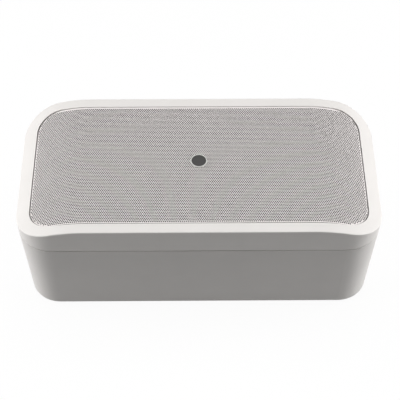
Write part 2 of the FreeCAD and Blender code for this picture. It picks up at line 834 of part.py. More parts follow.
# Woofers
seal = s["driver_seal"]
rim_top = seal + s["flange_thick"]
basket_bore = s["basket_radius"] - s["basket_sheet"]
neck_bore = s["basket_neck"] - s["basket_sheet"]
shelf = -s["shelf_drop"]
basket_floor = -s["basket_drop"]
basket_end = basket_floor - s["basket_sheet"]
coil_radius = s["former_radius"] + s["coil_thick"]
gap_radius = coil_radius + s["coil_gap"]
former_bore = s["former_radius"] - s["former_thick"]
roll_centre = basket_bore - s["roll_radius"]
cone_edge = roll_centre - s["roll_radius"]
cone_land = cone_edge - s["surround_land"]
neck_z = -s["neck_drop"]
cone_slope = (rim_top - neck_z) / (cone_land - s["former_radius"])
plate_end = basket_end - s["top_plate_thick"]
magnet_end = plate_end - s["magnet_thick"]
yoke_end = magnet_end - s["yoke_thick"]


def cone_height(radius):
    return neck_z + (radius - s["former_radius"]) * cone_slope


def cap_corners():
    """A thin dome whose edge lies on the cone's slope."""
    outer_r = s["cap_radius"]
    inner_r = outer_r - s["cap_thick"]
    outer_z = cone_height(outer_r)
    inner_z = cone_height(inner_r)
    apex = outer_z + s["cap_rise"]
    inner_rise = apex - s["cap_thick"] - inner_z
    outer_centre = apex - (outer_r * outer_r + s["cap_rise"] * s["cap_rise"]) / (2 * s["cap_rise"])
    inner_apex = apex - s["cap_thick"]
    inner_centre = inner_apex - (inner_r * inner_r + inner_rise * inner_rise) / (2 * inner_rise)
    return [
        (outer_r, outer_z, zero, outer_centre), (zero, apex), (zero, inner_apex, zero, inner_centre, -1),
        (inner_r, inner_z),
    ]


def surround_corners():
    """A half roll with a flat landing on each side."""
    thick = s["surround_thick"]
    outer_roll = s["roll_radius"] + thick
    spread = root(outer_roll * outer_roll - thick * thick)
    land_z = rim_top + thick
    return [
        (basket_bore + s["surround_land"], rim_top), (basket_bore + s["surround_land"], land_z),
        (roll_centre + spread, land_z, roll_centre, rim_top), (roll_centre - spread, land_z),
        (cone_land, land_z), (cone_land, rim_top),
        (cone_edge, rim_top, roll_centre, rim_top, -1), (basket_bore, rim_top),
    ]


def spider_corners():
    """A corrugated disc from the coil former to the basket's shelf."""
    start = s["former_radius"] + s["spider_collar"]
    pitch = (neck_bore - s["surround_land"] - start) / SPIDER_WAVES
    low = [(s["former_radius"], shelf)]
    for number in range(SPIDER_WAVES + 1):
        lift = s["spider_wave"] * (number % 2)
        low.append((start + pitch * number, shelf - lift))
    low.append((neck_bore + s["spider_land"], shelf))
    high = [(radius, z + s["spider_thick"]) for radius, z in reversed(low)]
    return low + high


def window_cutter(name, centre_x, width, low, high, angle):
    """A box through the basket's middle, turned about its axis, that opens two facing windows."""
    length = 2 * (s["basket_radius"] + s["overcut"])
    cosine = math.cos(math.radians(angle))
    sine = math.sin(math.radians(angle))
    cutter = doc.addObject("Part::Box", name)
    bind(cutter, "Length", length)
    bind(cutter, "Width", width)
    bind(cutter, "Height", high - low)
    cutter.Placement.Rotation = FreeCAD.Rotation(FreeCAD.Vector(0, 0, 1), angle)
    corner_x = centre_x - length / 2 * cosine + width / 2 * sine
    corner_y = -(length / 2 * sine) - width / 2 * cosine
    place(cutter, corner_x, corner_y, baffle_z + low)
    return cutter


def make_basket(side):
    """A stepped pressing with windows round its wall and its neck."""
    shelf_under = shelf - s["basket_sheet"]
    blank = turned(f"basket_blank_{side}", [
        (s["flange_radius"], seal), (s["flange_radius"], rim_top), (basket_bore, rim_top),
        (basket_bore, shelf), (neck_bore, shelf), (neck_bore, basket_floor), (gap_radius, basket_floor),
        (gap_radius, basket_end), (s["basket_neck"], basket_end), (s["basket_neck"], shelf_under),
        (s["basket_radius"], shelf_under), (s["basket_radius"], seal),
    ])
    centre = driver_centres[side]
    place(blank, centre, zero, baffle_z)
    margin = s["window_margin"]
    levels = {
        "wall": (s["window_width"], shelf + margin, -margin),
        "neck": (s["lower_window_width"], basket_floor + margin, shelf_under - margin),
    }
    cutters = []
    for level, (width, low, high) in levels.items():
        for number in range(WINDOW_PAIRS):
            angle = 180 / WINDOW_PAIRS * number
            cutters.append(window_cutter(f"{level}_window{number}_{side}", centre, width, low, high, angle))
    holes = drill(f"flange_holes_{side}", clear_radius, s["flange_thick"] + 2 * s["overcut"],
                  driver_points[side], baffle_z + seal - s["overcut"])
    return cut(f"basket_{side}", blank, group(f"windows_{side}", cutters), holes)


def make_seal(side):
    body = new_body(f"driver_gasket_{side}")
    circles = [(zero, zero, s["flange_radius"]), (zero, zero, s["cutout_radius"])]
    span = s["driver_screw_radius"] * half_turn
    circles += [(x, y, clear_radius) for x, y in grid(span, span)]
    pad(body, f"seal_pad_{side}", body_sketch(body, f"seal_{side}", [], circles), seal)
    return body


def make_woofer(side):
    """All pieces of one woofer, in place on the baffle."""
    former_top = neck_z + s["former_rise"]
    coil_low = -s["coil_bottom"]
    coil_top = coil_low + s["coil_height"]
    pole_radius = former_bore - s["coil_gap"]
    pieces = [
        make_seal(side),
        turned(f"surround_{side}", surround_corners()),
        turned(f"cone_{side}", [
            (cone_edge, rim_top), (cone_land, rim_top), (s["former_radius"], neck_z),
            (s["former_radius"], neck_z - s["cone_slope_thick"]),
            (cone_land + s["cone_thick"] / 2, rim_top - s["cone_thick"]),
            (cone_edge, rim_top - s["cone_thick"]),
        ]),
        turned(f"dust_cap_{side}", cap_corners()),
        turned(f"coil_former_{side}", rectangle(former_bore, coil_low, s["former_radius"], former_top)),
        turned(f"voice_coil_{side}", rectangle(s["former_radius"], coil_low, coil_radius, coil_top)),
        turned(f"spider_{side}", spider_corners()),
        turned(f"top_plate_{side}", rectangle(gap_radius, plate_end, s["top_plate_radius"], basket_end)),
        turned(f"magnet_{side}", rectangle(s["magnet_bore"], magnet_end, s["magnet_radius"], plate_end)),
        turned(f"yoke_{side}", [
            (s["pole_vent"], yoke_end), (s["yoke_radius"], yoke_end), (s["yoke_radius"], magnet_end),
            (pole_radius, magnet_end), (pole_radius, basket_end), (s["pole_vent"], basket_end),
        ]),
    ]
    for piece in pieces:
        place(piece, driver_centres[side], zero, baffle_z)
    pieces.append(make_basket(side))
    screw_z = baffle_z + rim_top
    pieces.append(screws(f"driver_screws_{side}", driver_points[side], screw_z, s["driver_screw_length"]))
    return pieces


woofers = make_woofer("left") + make_woofer("right")

# Reflex port
port_out = s["port_radius"] + s["port_wall"]
flare_x = s["port_radius"] + s["port_flare"]
flare_low = s["port_flange_thick"] - s["port_flare"]
port_end = -s["port_length"]
inner_flare_x = s["port_radius"] + s["port_inner_flare"]
inner_flare_z = port_end + s["port_inner_flare"]
port_tube = turned("port_tube", [
    (s["port_flange"], zero), (s["port_flange"], s["port_flange_thick"]),
    (flare_x, s["port_flange_thick"], flare_x, flare_low), (s["port_radius"], flare_low),
    (s["port_radius"], inner_flare_z, inner_flare_x, inner_flare_z), (inner_flare_x, port_end),
    (inner_flare_x, port_end + s["port_wall"]), (port_out, inner_flare_z + s["port_wall"]), (port_out, zero),
])
place(port_tube, zero, zero, baffle_z)

# Filter and wadding
filter_board = new_body("filter_board")
board_outline = round_rectangle(s["board_length"], s["board_width"], s["board_corner"], board_x, zero)
board_holes = [(x, y, clear_radius) for x, y in board_points]
board_sketch = body_sketch(filter_board, "board", [board_outline], board_holes, offset=board_z)
pad(filter_board, "board_pad", board_sketch, s["board_thick"])
board_top = board_z + s["board_thick"]
inductor_x = board_x + s["board_length"] / 2 - s["part_gap"] - s["core_flange_radius"]
core_top = s["core_height"] - s["core_flange"]
inductor_core = turned("inductor_core", [
    (zero, zero), (s["core_flange_radius"], zero), (s["core_flange_radius"], s["core_flange"]),
    (s["core_radius"], s["core_flange"]), (s["core_radius"], core_top), (s["core_flange_radius"], core_top),
    (s["core_flange_radius"], s["core_height"]), (zero, s["core_height"]),
])
place(inductor_core, inductor_x, zero, board_top)
winding = rectangle(s["core_radius"], s["core_flange"], s["winding_radius"], core_top)
filter_inductor = turned("filter_inductor", winding)
place(filter_inductor, inductor_x, zero, board_top)
capacitor_pitch = s["capacitor_width"] + s["part_gap"]
capacitor_x = inductor_x - s["core_flange_radius"] - s["part_gap"] - s["capacitor_width"] / 2
capacitors = [
    block(f"capacitor{number}", s["capacitor_width"], s["capacitor_length"], s["capacitor_height"],
          capacitor_x - capacitor_pitch * number, zero, board_top)
    for number in range(CAPACITOR_COUNT)
]
filter_capacitors = group("filter_capacitors", capacitors)
board_screws = screws("board_screws", board_points, board_top, s["board_lift"] + s["board_thick"])
damping_pad = block("damping_pad", s["pad_length"], s["pad_width"], s["pad_thick"], floor_middle, zero,
                    floor_z)

# Inner leads: from the header's pins to the board's underside, and from the board up to each basket
input_y = plate_back - s["pin_tail"]
input_z = board_z - s["input_radius"]
input_turn = input_y - s["lead_bend"]
input_run = [
    (zero, input_y), (zero, input_turn, -s["input_bend"], input_turn, -1),
    (-s["input_bend"], input_turn - s["input_bend"]),
    (board_x + s["board_length"] / 2 - s["input_reach"], input_turn - s["input_bend"]),
]
input_lead = piped("input_lead", input_run, "XY_Plane", input_z,
                   (zero, input_z, s["input_radius"]), "XZ_Plane", -input_y)
tag_z = baffle_z + shelf - s["basket_sheet"] - s["tag_thick"]


def rising_run(start_x, end_x, level, turn):
    """Up from the board, across at a level and up to a tag, to the right if turn is 1, else to the left."""
    bend = s["lead_bend"]
    near = start_x + bend * turn
    far = end_x - bend * turn
    first = (start_x, level - bend, near, level - bend)
    second = (far, level, far, level + bend)
    if turn > 0:
        first += (-1,)
    else:
        second += (-1,)
    return [(start_x, board_top), first, (near, level), second, (end_x, level + bend), (end_x, tag_z)]


def make_lead(side, start_x, level, turn):
    """A driver's lead and the tag that it ends on."""
    end_x = driver_centres[side] - s["tag_reach"]
    lead = piped(f"driver_lead_{side}", rising_run(start_x, end_x, level, turn), "XZ_Plane", -s["lead_side"],
                 (start_x, s["lead_side"], s["lead_radius"]), "XY_Plane", board_top)
    tag = block(f"lead_tag_{side}", s["tag_length"], s["tag_width"], s["tag_thick"], end_x, s["lead_side"],
                tag_z)
    return [lead, tag]


lead_x = board_x + s["lead_start"]
over_parts = board_top + s["capacitor_height"] + s["part_gap"] + s["lead_bend"]
leads = [input_lead] + make_lead("left", lead_x, over_parts, -1)
leads += make_lead("right", lead_x + s["lead_pitch"], board_top + s["lead_rise"], 1)

pieces = [
    rear_cabinet, front_frame, seam_gasket, grille, grille_scrim, grille_badge, port_tube, bracket_inserts,
    frame_screws, terminal_gasket, terminal_plate, terminal_header, header_pins, terminal_screws,
    filter_board, inductor_core, filter_inductor, filter_capacitors, board_screws, damping_pad,
] + feet + woofers + leads

doc.recompute()
for item in doc.Objects:
    if "Invalid" in item.State or "Error" in item.State:
        raise RuntimeError(f"{item.Label} did not build: {item.State}")
os.makedirs("parts", exist_ok=True)
for piece in pieces:
    shape = piece.Shape
    if shape.isNull() or not shape.isValid():
        raise RuntimeError(f"{piece.Label} has no valid shape")
    shape.exportStep(f"parts/{piece.Label}.step")
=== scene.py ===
import json
import math

import bpy
import numpy as np
from mathutils import Matrix, Vector, noise
from mathutils.geometry import delaunay_2d_cdt


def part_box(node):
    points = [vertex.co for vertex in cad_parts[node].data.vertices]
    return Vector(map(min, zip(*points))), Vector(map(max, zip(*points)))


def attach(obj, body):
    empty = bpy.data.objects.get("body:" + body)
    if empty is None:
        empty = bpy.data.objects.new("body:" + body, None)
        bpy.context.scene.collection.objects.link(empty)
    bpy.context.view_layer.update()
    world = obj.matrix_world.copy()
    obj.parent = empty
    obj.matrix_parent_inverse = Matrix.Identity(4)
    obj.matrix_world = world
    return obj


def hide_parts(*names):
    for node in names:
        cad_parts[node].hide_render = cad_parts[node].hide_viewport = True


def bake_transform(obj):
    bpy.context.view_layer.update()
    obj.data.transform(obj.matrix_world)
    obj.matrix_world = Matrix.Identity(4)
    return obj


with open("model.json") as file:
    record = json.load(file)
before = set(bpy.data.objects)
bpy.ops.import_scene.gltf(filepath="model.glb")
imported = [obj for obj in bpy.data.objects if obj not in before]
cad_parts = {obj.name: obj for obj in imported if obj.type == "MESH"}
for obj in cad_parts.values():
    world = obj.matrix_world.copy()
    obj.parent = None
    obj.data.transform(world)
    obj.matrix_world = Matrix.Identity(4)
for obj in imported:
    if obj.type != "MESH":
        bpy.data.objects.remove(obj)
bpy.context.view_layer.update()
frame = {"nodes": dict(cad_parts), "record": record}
nodes = frame["nodes"]
MM = 0.001

# Camera: where it stands, its turn in degrees, and its lens on a sensor in millimetres
CAMERA_PLACE = (-0.00547, -0.68145, 0.92793)
CAMERA_PITCH = 51.735
CAMERA_YAW = 0.555
CAMERA_ROLL = 0.155
CAMERA_LENS = 105.67
SENSOR = 36.0

# Floor and lamps: one above, one at each side and a faint one under the feet
WHITE = (1.0, 1.0, 1.0, 1.0)
FLOOR_SIZE = 6.0
FLOOR_BOUNCE = 0.30
FLOOR_SHADOW = 0.06
AMBIENT = 0.0
TOP_PLACE = (0.0, 0.26, 1.5)
TOP_AIM = (0.0, 0.0, 0.1)
TOP_SIZE = (1.4, 1.0)
TOP_POWER = 13.1
SIDE_AWAY = 1.3
SIDE_BACK = -0.06
SIDE_HEIGHT = 0.5
SIDE_AIM = (0.0, 0.0, 0.08)
SIDE_SIZE = (1.15, 0.8)
SIDE_POWER = 16.4
TABLE_PLACE = (0.0, 0.0, 0.5 * MM)
TABLE_AIM = (0.0, 0.0, 1.0)
TABLE_SIZE = (0.45, 0.3)
TABLE_POWER = 0.045

# Colours of the shell, the grille and the badge, and painted shade for the tub and for the grille's upright
# faces
SHELL = (0.797, 0.773, 0.75)
SHELL_GRAIN = 1700.0
SHELL_ROUGHNESS = 0.52
SHELL_RELIEF = 0.035 * MM
# Painted shade: the tub's plastic is made darker than the frame's, for the lesser light on its front
TUB_PAINTED_SHADE = 0.9
GRILLE_PAINT = (0.814, 0.769, 0.759)
# Painted shade for the grille's upright faces: the holes' walls and the turned edge
GRILLE_PAINTED_SHADE = (0.16, 0.155, 0.152)
BADGE_FIELD = (0.045, 0.044, 0.043)
BADGE_RING = (0.66, 0.65, 0.63)
BADGE_FIELD_RADIUS = 6.62 * MM

# The middle of a noise texture's range, which most of its values lie in
NOISE_LOW = 0.3
NOISE_HIGH = 0.7

# How fine the paint's orange peel is, and a weave's waves for a thread a metre thick
PEEL_SCALE = 900.0
WEAVE_SCALE = 0.31

# A Mix node's colour sockets, whose names its other modes' sockets share
MIX_FIRST = 6
MIX_SECOND = 7
MIX_RESULT = 2

# The grille's face, as the solid has it
GRILLE_RISE = 2.0 * MM
CROWN_END = 62.5 * MM
CROWN_RADIUS = 119.0 * MM
RIM_END = 12.2 * MM
GRILLE_GAP = 0.7 * MM
GRILLE_THICK = 1.0 * MM
GRILLE_CORNER = 21.8 * MM
GRILLE_EDGE_ROUND = 0.35 * MM

# Its edge: a little shorter at both ends and nearer to the frame at the back than an even gap
END_TRIM = 0.3 * MM
BACK_REACH = 0.4 * MM
SKIRT_THICK = 0.4 * MM
OUTLINE_STEP = 3.0 * MM
CORNER_STEPS = 14

# Its perforation: staggered rows of round holes in six-sided cells, and a plain border, wider at the back
HOLE_PITCH = 1.83 * MM
ROW_STEP = HOLE_PITCH * math.sqrt(3) / 2
HOLE_RADIUS = 0.695 * MM
HOLE_SIDES = 8
CELL_SIDES = 6
HOLE_SHIFT = 0.4 * MM
HOLE_BORDER = 0.45 * MM
BACK_BORDER = 1.5 * MM
BORDER_REACH = HOLE_BORDER + 3 * HOLE_PITCH
GRILLE_PANELS = 4

# The cloth under it
SCRIM_INSET = 2.0 * MM
SCRIM_GAP = 0.05 * MM
SCRIM_THICK = 0.45 * MM
SCRIM_STEP = 6.0 * MM

# Cone suspension
ROLL_RADIUS = 3.5 * MM
ROLL_STEPS = 18
SURROUND_THICK = 0.7 * MM
SUSPENSION_LAND = 2.0 * MM
SPIDER_WAVE = 1.1 * MM
SPIDER_THICK = 0.5 * MM
SPIDER_COLLAR = 2.1 * MM
SPIDER_LAND = 9.0 * MM
SPIDER_WAVES = 6
WAVE_STEPS = 8
FORMER_RADIUS = 12.9 * MM
LATHE_STEPS = 96

# Windings: round wires, of which the outer part shows
COIL_WIRE = 0.4 * MM
INDUCTOR_WIRE = 0.8 * MM
CORE_RADIUS = 5.0 * MM
WIRE_REACH = 80
WIRE_STEPS = 4
WINDING_STEPS = 48

# Screws: a pan head with a brow and a flat top, a cross recess that narrows, and a thread with a tapered tip
SCREW_RADIUS = 1.5 * MM
SCREW_HEAD_RADIUS = 3.0 * MM
SCREW_HEAD = 2.0 * MM
SCREW_SPACING = 8.0 * MM
HEAD_BROW = 0.45 * SCREW_HEAD
HEAD_FLAT = 0.55
HEAD_STEPS = 5
HEAD_SIDES = 32
RECESS_LENGTH = 3.2 * MM
RECESS_WIDTH = 0.7 * MM
RECESS_DEPTH = 1.1 * MM
RECESS_FLOOR = 0.45
RECESS_MOUTH = 0.55
RECESS_TOP = 1.2 * SCREW_HEAD
THREAD_PITCH = 1.0 * MM
THREAD_DEPTH = 0.22 * MM
THREAD_STEPS = 14
THREAD_RINGS = 5
TIP_LENGTH = 2 * THREAD_PITCH
TIP_SHARE = 0.25

# Wadding: how square its plan and crown are, its height at the edge, and its tufts
PAD_STEP = 2.5 * MM
PAD_ROUND = 0.3
PAD_SQUARE = 6
PAD_EDGE = 0.3
PAD_CROWN = 0.4
PAD_TUFT = 1.6 * MM
TUFT_SCALE = 90
TUFT_OCTAVES = 3

# Small edges in millimetres that the moulded, stamped and cut pieces have
SOFT_EDGES = {
    "filter_capacitors": 0.9, "terminal_header": 0.3, "terminal_plate": 0.4, "header_pins": 0.15,
    "lead_tag_left": 0.2, "lead_tag_right": 0.2, "filter_board": 0.15, "port_tube": 0.3,
}
SOFT_ANGLE = 40
SOFT_SEGMENTS = 2

# Points closer than these are one
WELD_REACH = 0.001 * MM
MERGE_REACH = 1e-4 * MM
MESH_REACH = 1e-9
ON_RING = 0.01 * MM


# Materials
class Finish:
    """A procedural material: one Principled shader fed by textures in the object's own metres."""

    def __init__(self, name, roughness, metallic=0.0, **sockets):
        self.material = bpy.data.materials.new(name)
        self.material.use_nodes = True
        self.tree = self.material.node_tree
        self.shader = self.tree.nodes["Principled BSDF"]
        self.shader.inputs["Roughness"].default_value = roughness
        self.shader.inputs["Metallic"].default_value = metallic
        for socket, value in sockets.items():
            self.shader.inputs[socket.replace("_", " ")].default_value = value
        self.place = self.add("ShaderNodeTexCoord").outputs["Object"]

    def add(self, kind, inputs=None, **settings):
        node = self.tree.nodes.new(kind)
        for name, value in settings.items():
            setattr(node, name, value)
        for name, value in (inputs or {}).items():
            socket = node.inputs[name]
            if isinstance(value, bpy.types.NodeSocket):
                self.tree.links.new(value, socket)
            else:
                socket.default_value = value
        return node

    def stretched(self, scale):
        """The place with its axes scaled, for grain that runs one way."""
        return self.add("ShaderNodeMapping", {"Vector": self.place, "Scale": scale}).outputs["Vector"]

    def noise(self, scale, detail=2.0, place=None):
        inputs = {"Vector": place or self.place, "Scale": scale, "Detail": detail}
        return self.add("ShaderNodeTexNoise", inputs).outputs["Fac"]

    def cells(self, scale, place=None):
        inputs = {"Vector": place or self.place, "Scale": scale}
        return self.add("ShaderNodeTexVoronoi", inputs).outputs["Distance"]

    def waves(self, direction, scale):
        inputs = {"Vector": self.place, "Scale": scale, "Distortion": 0.4, "Detail Scale": 3.0}
        return self.add("ShaderNodeTexWave", inputs, bands_direction=direction).outputs["Fac"]

    def arithmetic(self, operation, first, second):
        """One arithmetic node on a socket and a socket or number."""
        node = self.add("ShaderNodeMath", operation=operation)
        self.tree.links.new(first, node.inputs[0])
        if isinstance(second, bpy.types.NodeSocket):
            self.tree.links.new(second, node.inputs[1])
        else:
            node.inputs[1].default_value = second
        return node.outputs[0]

    def between(self, factor, low, high):
        """A factor spread from low to high, kept inside them."""
        inputs = {"Value": factor, "From Min": NOISE_LOW, "From Max": NOISE_HIGH}
        return self.add("ShaderNodeMapRange", {**inputs, "To Min": low, "To Max": high}).outputs["Result"]

    def paint(self, factor, first, second):
        """The base colour, from first to second by the factor."""
        mix = self.add("ShaderNodeMix", data_type="RGBA")
        self.tree.links.new(factor, mix.inputs["Factor"])
        mix.inputs[MIX_FIRST].default_value = (*first, 1)
        mix.inputs[MIX_SECOND].default_value = (*second, 1)
        self.tree.links.new(mix.outputs[MIX_RESULT], self.shader.inputs["Base Color"])

    def mottle(self, color, scale, dark, light, detail=2.0):
        """The base colour in uneven patches, from a darker shade of it to a lighter one."""
        patches = self.between(self.noise(scale, detail), 0.0, 1.0)
        self.paint(patches, shade(color, dark), shade(color, light))

    def gloss(self, factor, low, high):
        self.tree.links.new(self.between(factor, low, high), self.shader.inputs["Roughness"])

    def relief(self, height, depth, strength=1.0):
        """A bump of the given depth in metres."""
        inputs = {"Height": height, "Distance": depth, "Strength": strength}
        bump = self.add("ShaderNodeBump", inputs)
        self.tree.links.new(bump.outputs["Normal"], self.shader.inputs["Normal"])


def shade(color, factor):
    return tuple(channel * factor for channel in color)


def moulded_plastic(name, color, grain, roughness, depth):
    """Moulded plastic with a fine spark-eroded grain and a slight unevenness of tone."""
    finish = Finish(name, roughness, Specular_IOR_Level=0.35)
    spark = finish.noise(grain, detail=3.0)
    finish.mottle(color, scale=38.0, dark=0.985, light=1.01)
    finish.gloss(spark, roughness - 0.05, roughness + 0.05)
    finish.relief(spark, depth)
    return finish.material


def powder_coat(name, color, roughness):
    """Sprayed and baked paint with a soft orange peel."""
    finish = Finish(name, roughness, Specular_IOR_Level=0.4)
    peel = finish.noise(PEEL_SCALE, detail=1.0)
    finish.mottle(color, scale=60.0, dark=0.98, light=1.015)
    finish.gloss(peel, roughness - 0.06, roughness + 0.06)
    finish.relief(peel, 0.03 * MM)
    return finish.material


def grille_coat_with_painted_shade(name, color, painted_shade, roughness):
    """Powder coat with painted shade: its upright faces, the holes' walls and the turned edge, are painted
    dark as if in shade, and faces that lie flat keep the full colour.
    """
    finish = Finish(name, roughness, Specular_IOR_Level=0.4)
    normal = finish.add("ShaderNodeTexCoord").outputs["Normal"]
    upward = finish.add("ShaderNodeSeparateXYZ", {"Vector": normal}).outputs["Z"]
    # Painted shade: the colour darkens the more a face stands upright
    finish.paint(finish.between(upward, 0.0, 1.0), painted_shade, color)
    peel = finish.noise(PEEL_SCALE, detail=1.0)
    finish.gloss(peel, roughness - 0.06, roughness + 0.06)
    finish.relief(peel, 0.02 * MM)
    return finish.material


def woven(name, color, thread, roughness, sheen):
    """Plain weave with one thread over the next."""
    finish = Finish(name, roughness, Sheen_Weight=sheen, Sheen_Roughness=0.6)
    warp = finish.waves("X", WEAVE_SCALE / thread)
    weft = finish.waves("Y", WEAVE_SCALE / thread)
    cloth = finish.arithmetic("MAXIMUM", warp, weft)
    finish.paint(cloth, shade(color, 0.45), color)
    finish.relief(cloth, thread * 0.4)
    return finish.material


def metal(name, color, roughness, grain=(900.0, 900.0, 60.0)):
    """Bare or plated metal with faint drawn or turned lines."""
    finish = Finish(name, roughness, metallic=1.0)
    lines = finish.noise(1.0, detail=3.0, place=finish.stretched(grain))
    finish.mottle(color, scale=140.0, dark=0.86, light=1.0)
    finish.gloss(lines, roughness - 0.07, roughness + 0.09)
    finish.relief(lines, 0.01 * MM)
    return finish.material


def rubber(name, color, grain):
    """Moulded rubber, dull, with a little bloom on it."""
    finish = Finish(name, 0.7, Specular_IOR_Level=0.3, Sheen_Weight=0.15, Sheen_Roughness=0.5)
    finish.mottle(color, scale=90.0, dark=1.0, light=1.5, detail=4.0)
    skin = finish.noise(grain, detail=3.0)
    finish.gloss(skin, 0.62, 0.8)
    finish.relief(skin, 0.03 * MM)
    return finish.material


def foam(name, color):
    """Closed-cell foam: small pores."""
    finish = Finish(name, 0.92)
    pores = finish.cells(2200.0)
    finish.paint(pores, shade(color, 0.5), shade(color, 1.3))
    finish.relief(pores, 0.12 * MM)
    return finish.material


def grained(name, color, speckle, scale, roughness, depth):
    """A sintered, pressed or cast surface with speckles of a second colour."""
    finish = Finish(name, roughness)
    grain = finish.noise(scale, detail=5.0)
    finish.paint(finish.between(grain, 0.0, 1.0), color, speckle)
    finish.gloss(grain, roughness - 0.08, roughness + 0.08)
    finish.relief(grain, depth)
    return finish.material


def laminate(name, mask, track):
    """Circuit board: solder mask over tracks that show as paler lines."""
    finish = Finish(name, 0.38, Coat_Weight=0.3, Coat_Roughness=0.2)
    inputs = {"Vector": finish.place, "Scale": 60.0, "Mortar Size": 0.03, "Mortar Smooth": 0.2}
    tracks = finish.add("ShaderNodeTexBrick", inputs).outputs["Fac"]
    finish.paint(tracks, mask, track)
    finish.relief(tracks, 0.035 * MM)
    return finish.material


def wire(name, color):
    """Enamelled copper under lacquer."""
    finish = Finish(name, 0.3, metallic=1.0, Coat_Weight=0.6, Coat_Roughness=0.15)
    finish.mottle(color, scale=260.0, dark=0.75, light=1.0, detail=4.0)
    finish.relief(finish.noise(1500.0), 0.01 * MM)
    return finish.material


def fibre(name, color):
    """Loose polyester fibre."""
    finish = Finish(name, 0.95, Sheen_Weight=0.5, Sheen_Roughness=0.7)
    tuft = finish.noise(420.0, detail=8.0, place=finish.stretched((1.0, 2.6, 1.6)))
    finish.paint(finish.between(tuft, 0.0, 1.0), shade(color, 0.8), color)
    finish.relief(tuft, 0.8 * MM)
    return finish.material


def badge_finish(name, field, ring, field_radius):
    """A dark satin field inside a pale raised ring."""
    finish = Finish(name, 0.35, Specular_IOR_Level=0.3)
    flat = finish.add("ShaderNodeVectorMath", {0: finish.place, 1: (1, 1, 0)}, operation="MULTIPLY")
    away = finish.add("ShaderNodeVectorMath", {0: flat.outputs["Vector"]}, operation="LENGTH")
    outside = finish.arithmetic("GREATER_THAN", away.outputs["Value"], field_radius)
    finish.paint(outside, field, ring)
    satin = finish.noise(1.0, place=finish.stretched((160.0, 5200.0, 900.0)))
    finish.gloss(satin, 0.3, 0.42)
    finish.relief(satin, 0.006 * MM)
    return finish.material


finishes = {
    "shell_plastic": moulded_plastic("shell_plastic", SHELL, SHELL_GRAIN, SHELL_ROUGHNESS, SHELL_RELIEF),
    "grille_metal": grille_coat_with_painted_shade("grille_metal", GRILLE_PAINT, GRILLE_PAINTED_SHADE, 0.5),
    "scrim_cloth": woven("scrim_cloth", (0.03, 0.029, 0.029), 0.28 * MM, 0.95, 0.1),
    "badge_plastic": badge_finish("badge_plastic", BADGE_FIELD, BADGE_RING, BADGE_FIELD_RADIUS),
    "seal_foam": foam("seal_foam", (0.035, 0.034, 0.033)),
    "inner_plastic": moulded_plastic("inner_plastic", (0.035, 0.035, 0.036), 1300.0, 0.55, 0.05 * MM),
    "header_plastic": grained("header_plastic", (0.02, 0.02, 0.021), (0.045, 0.045, 0.046), 1400.0, 0.45,
                              0.02 * MM),
    "pin_metal": metal("pin_metal", (0.83, 0.76, 0.55), 0.25),
    "brass_insert": metal("brass_insert", (0.78, 0.6, 0.3), 0.3),
    "screw_steel": metal("screw_steel", (0.62, 0.62, 0.63), 0.32),
    "board_laminate": laminate("board_laminate", (0.02, 0.13, 0.05), (0.05, 0.24, 0.1)),
    "ferrite": grained("ferrite", (0.045, 0.045, 0.048), (0.09, 0.09, 0.094), 900.0, 0.6, 0.04 * MM),
    "copper_wire": wire("copper_wire", (0.78, 0.36, 0.17)),
    "capacitor_case": grained("capacitor_case", (0.42, 0.05, 0.04), (0.5, 0.075, 0.055), 300.0, 0.3,
                              0.03 * MM),
    "wadding": fibre("wadding", (0.83, 0.83, 0.81)),
    "foot_rubber": rubber("foot_rubber", (0.03, 0.03, 0.03), 1200.0),
    "surround_rubber": rubber("surround_rubber", (0.022, 0.022, 0.022), 1600.0),
    "cone_paper": grained("cone_paper", (0.025, 0.025, 0.026), (0.06, 0.058, 0.056), 700.0, 0.8, 0.1 * MM),
    "former_metal": metal("former_metal", (0.8, 0.81, 0.82), 0.28),
    "spider_cloth": woven("spider_cloth", (0.6, 0.37, 0.13), 0.5 * MM, 0.85, 0.2),
    "motor_steel": metal("motor_steel", (0.5, 0.51, 0.53), 0.36),
    "basket_steel": powder_coat("basket_steel", (0.03, 0.03, 0.031), 0.42),
    "tag_laminate": grained("tag_laminate", (0.3, 0.17, 0.07), (0.36, 0.22, 0.1), 500.0, 0.6, 0.04 * MM),
    "lead_jacket": rubber("lead_jacket", (0.035, 0.035, 0.038), 800.0),
}
slot_of = {part["node"]: part["material_slot"] for part in frame["record"]["subparts"]}
for name, node in nodes.items():
    node.data.materials.clear()
    node.data.materials.append(finishes[slot_of[name]])
# Painted shade: the tub gets a darker copy of the shell plastic
tub_color_painted_shade = shade(SHELL, TUB_PAINTED_SHADE)
tub_plastic_painted_shade = moulded_plastic("tub_plastic_painted_shade", tub_color_painted_shade, SHELL_GRAIN, SHELL_ROUGHNESS, SHELL_RELIEF)
nodes["rear_cabinet"].data.materials[0] = tub_plastic_painted_shade


# Meshes
def make_piece(name, points, faces, body, slot, smooth=False):
    """A new mesh object in the shared frame that moves with a body."""
    mesh = bpy.data.meshes.new(name)
    mesh.from_pydata([tuple(p) for p in points], [], [tuple(f) for f in faces])
    return finish_piece(name, mesh, body, slot, smooth)


def finish_piece(name, mesh, body, slot, smooth):
    mesh.materials.append(finishes[slot])
    mesh.polygons.foreach_set("use_smooth", np.full(len(mesh.polygons), smooth))
    mesh.update()
    piece = bpy.data.objects.new(name, mesh)
    bpy.context.scene.collection.objects.link(piece)
    if body:
        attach(piece, body)
    return piece


def make_triangles(name, points, triangles, body, slot):
    """A new piece from arrays of points and triangles, quick for a fine mesh."""
    mesh = bpy.data.meshes.new(name)
    mesh.vertices.add(len(points))
    mesh.vertices.foreach_set("co", np.asarray(points, np.float32).ravel())
    count = len(triangles)
    mesh.loops.add(3 * count)
    mesh.loops.foreach_set("vertex_index", np.asarray(triangles, np.int32).ravel())
    mesh.polygons.add(count)
    mesh.polygons.foreach_set("loop_start", np.arange(0, 3 * count, 3, dtype=np.int32))
    mesh.validate()
    return finish_piece(name, mesh, body, slot, smooth=False)


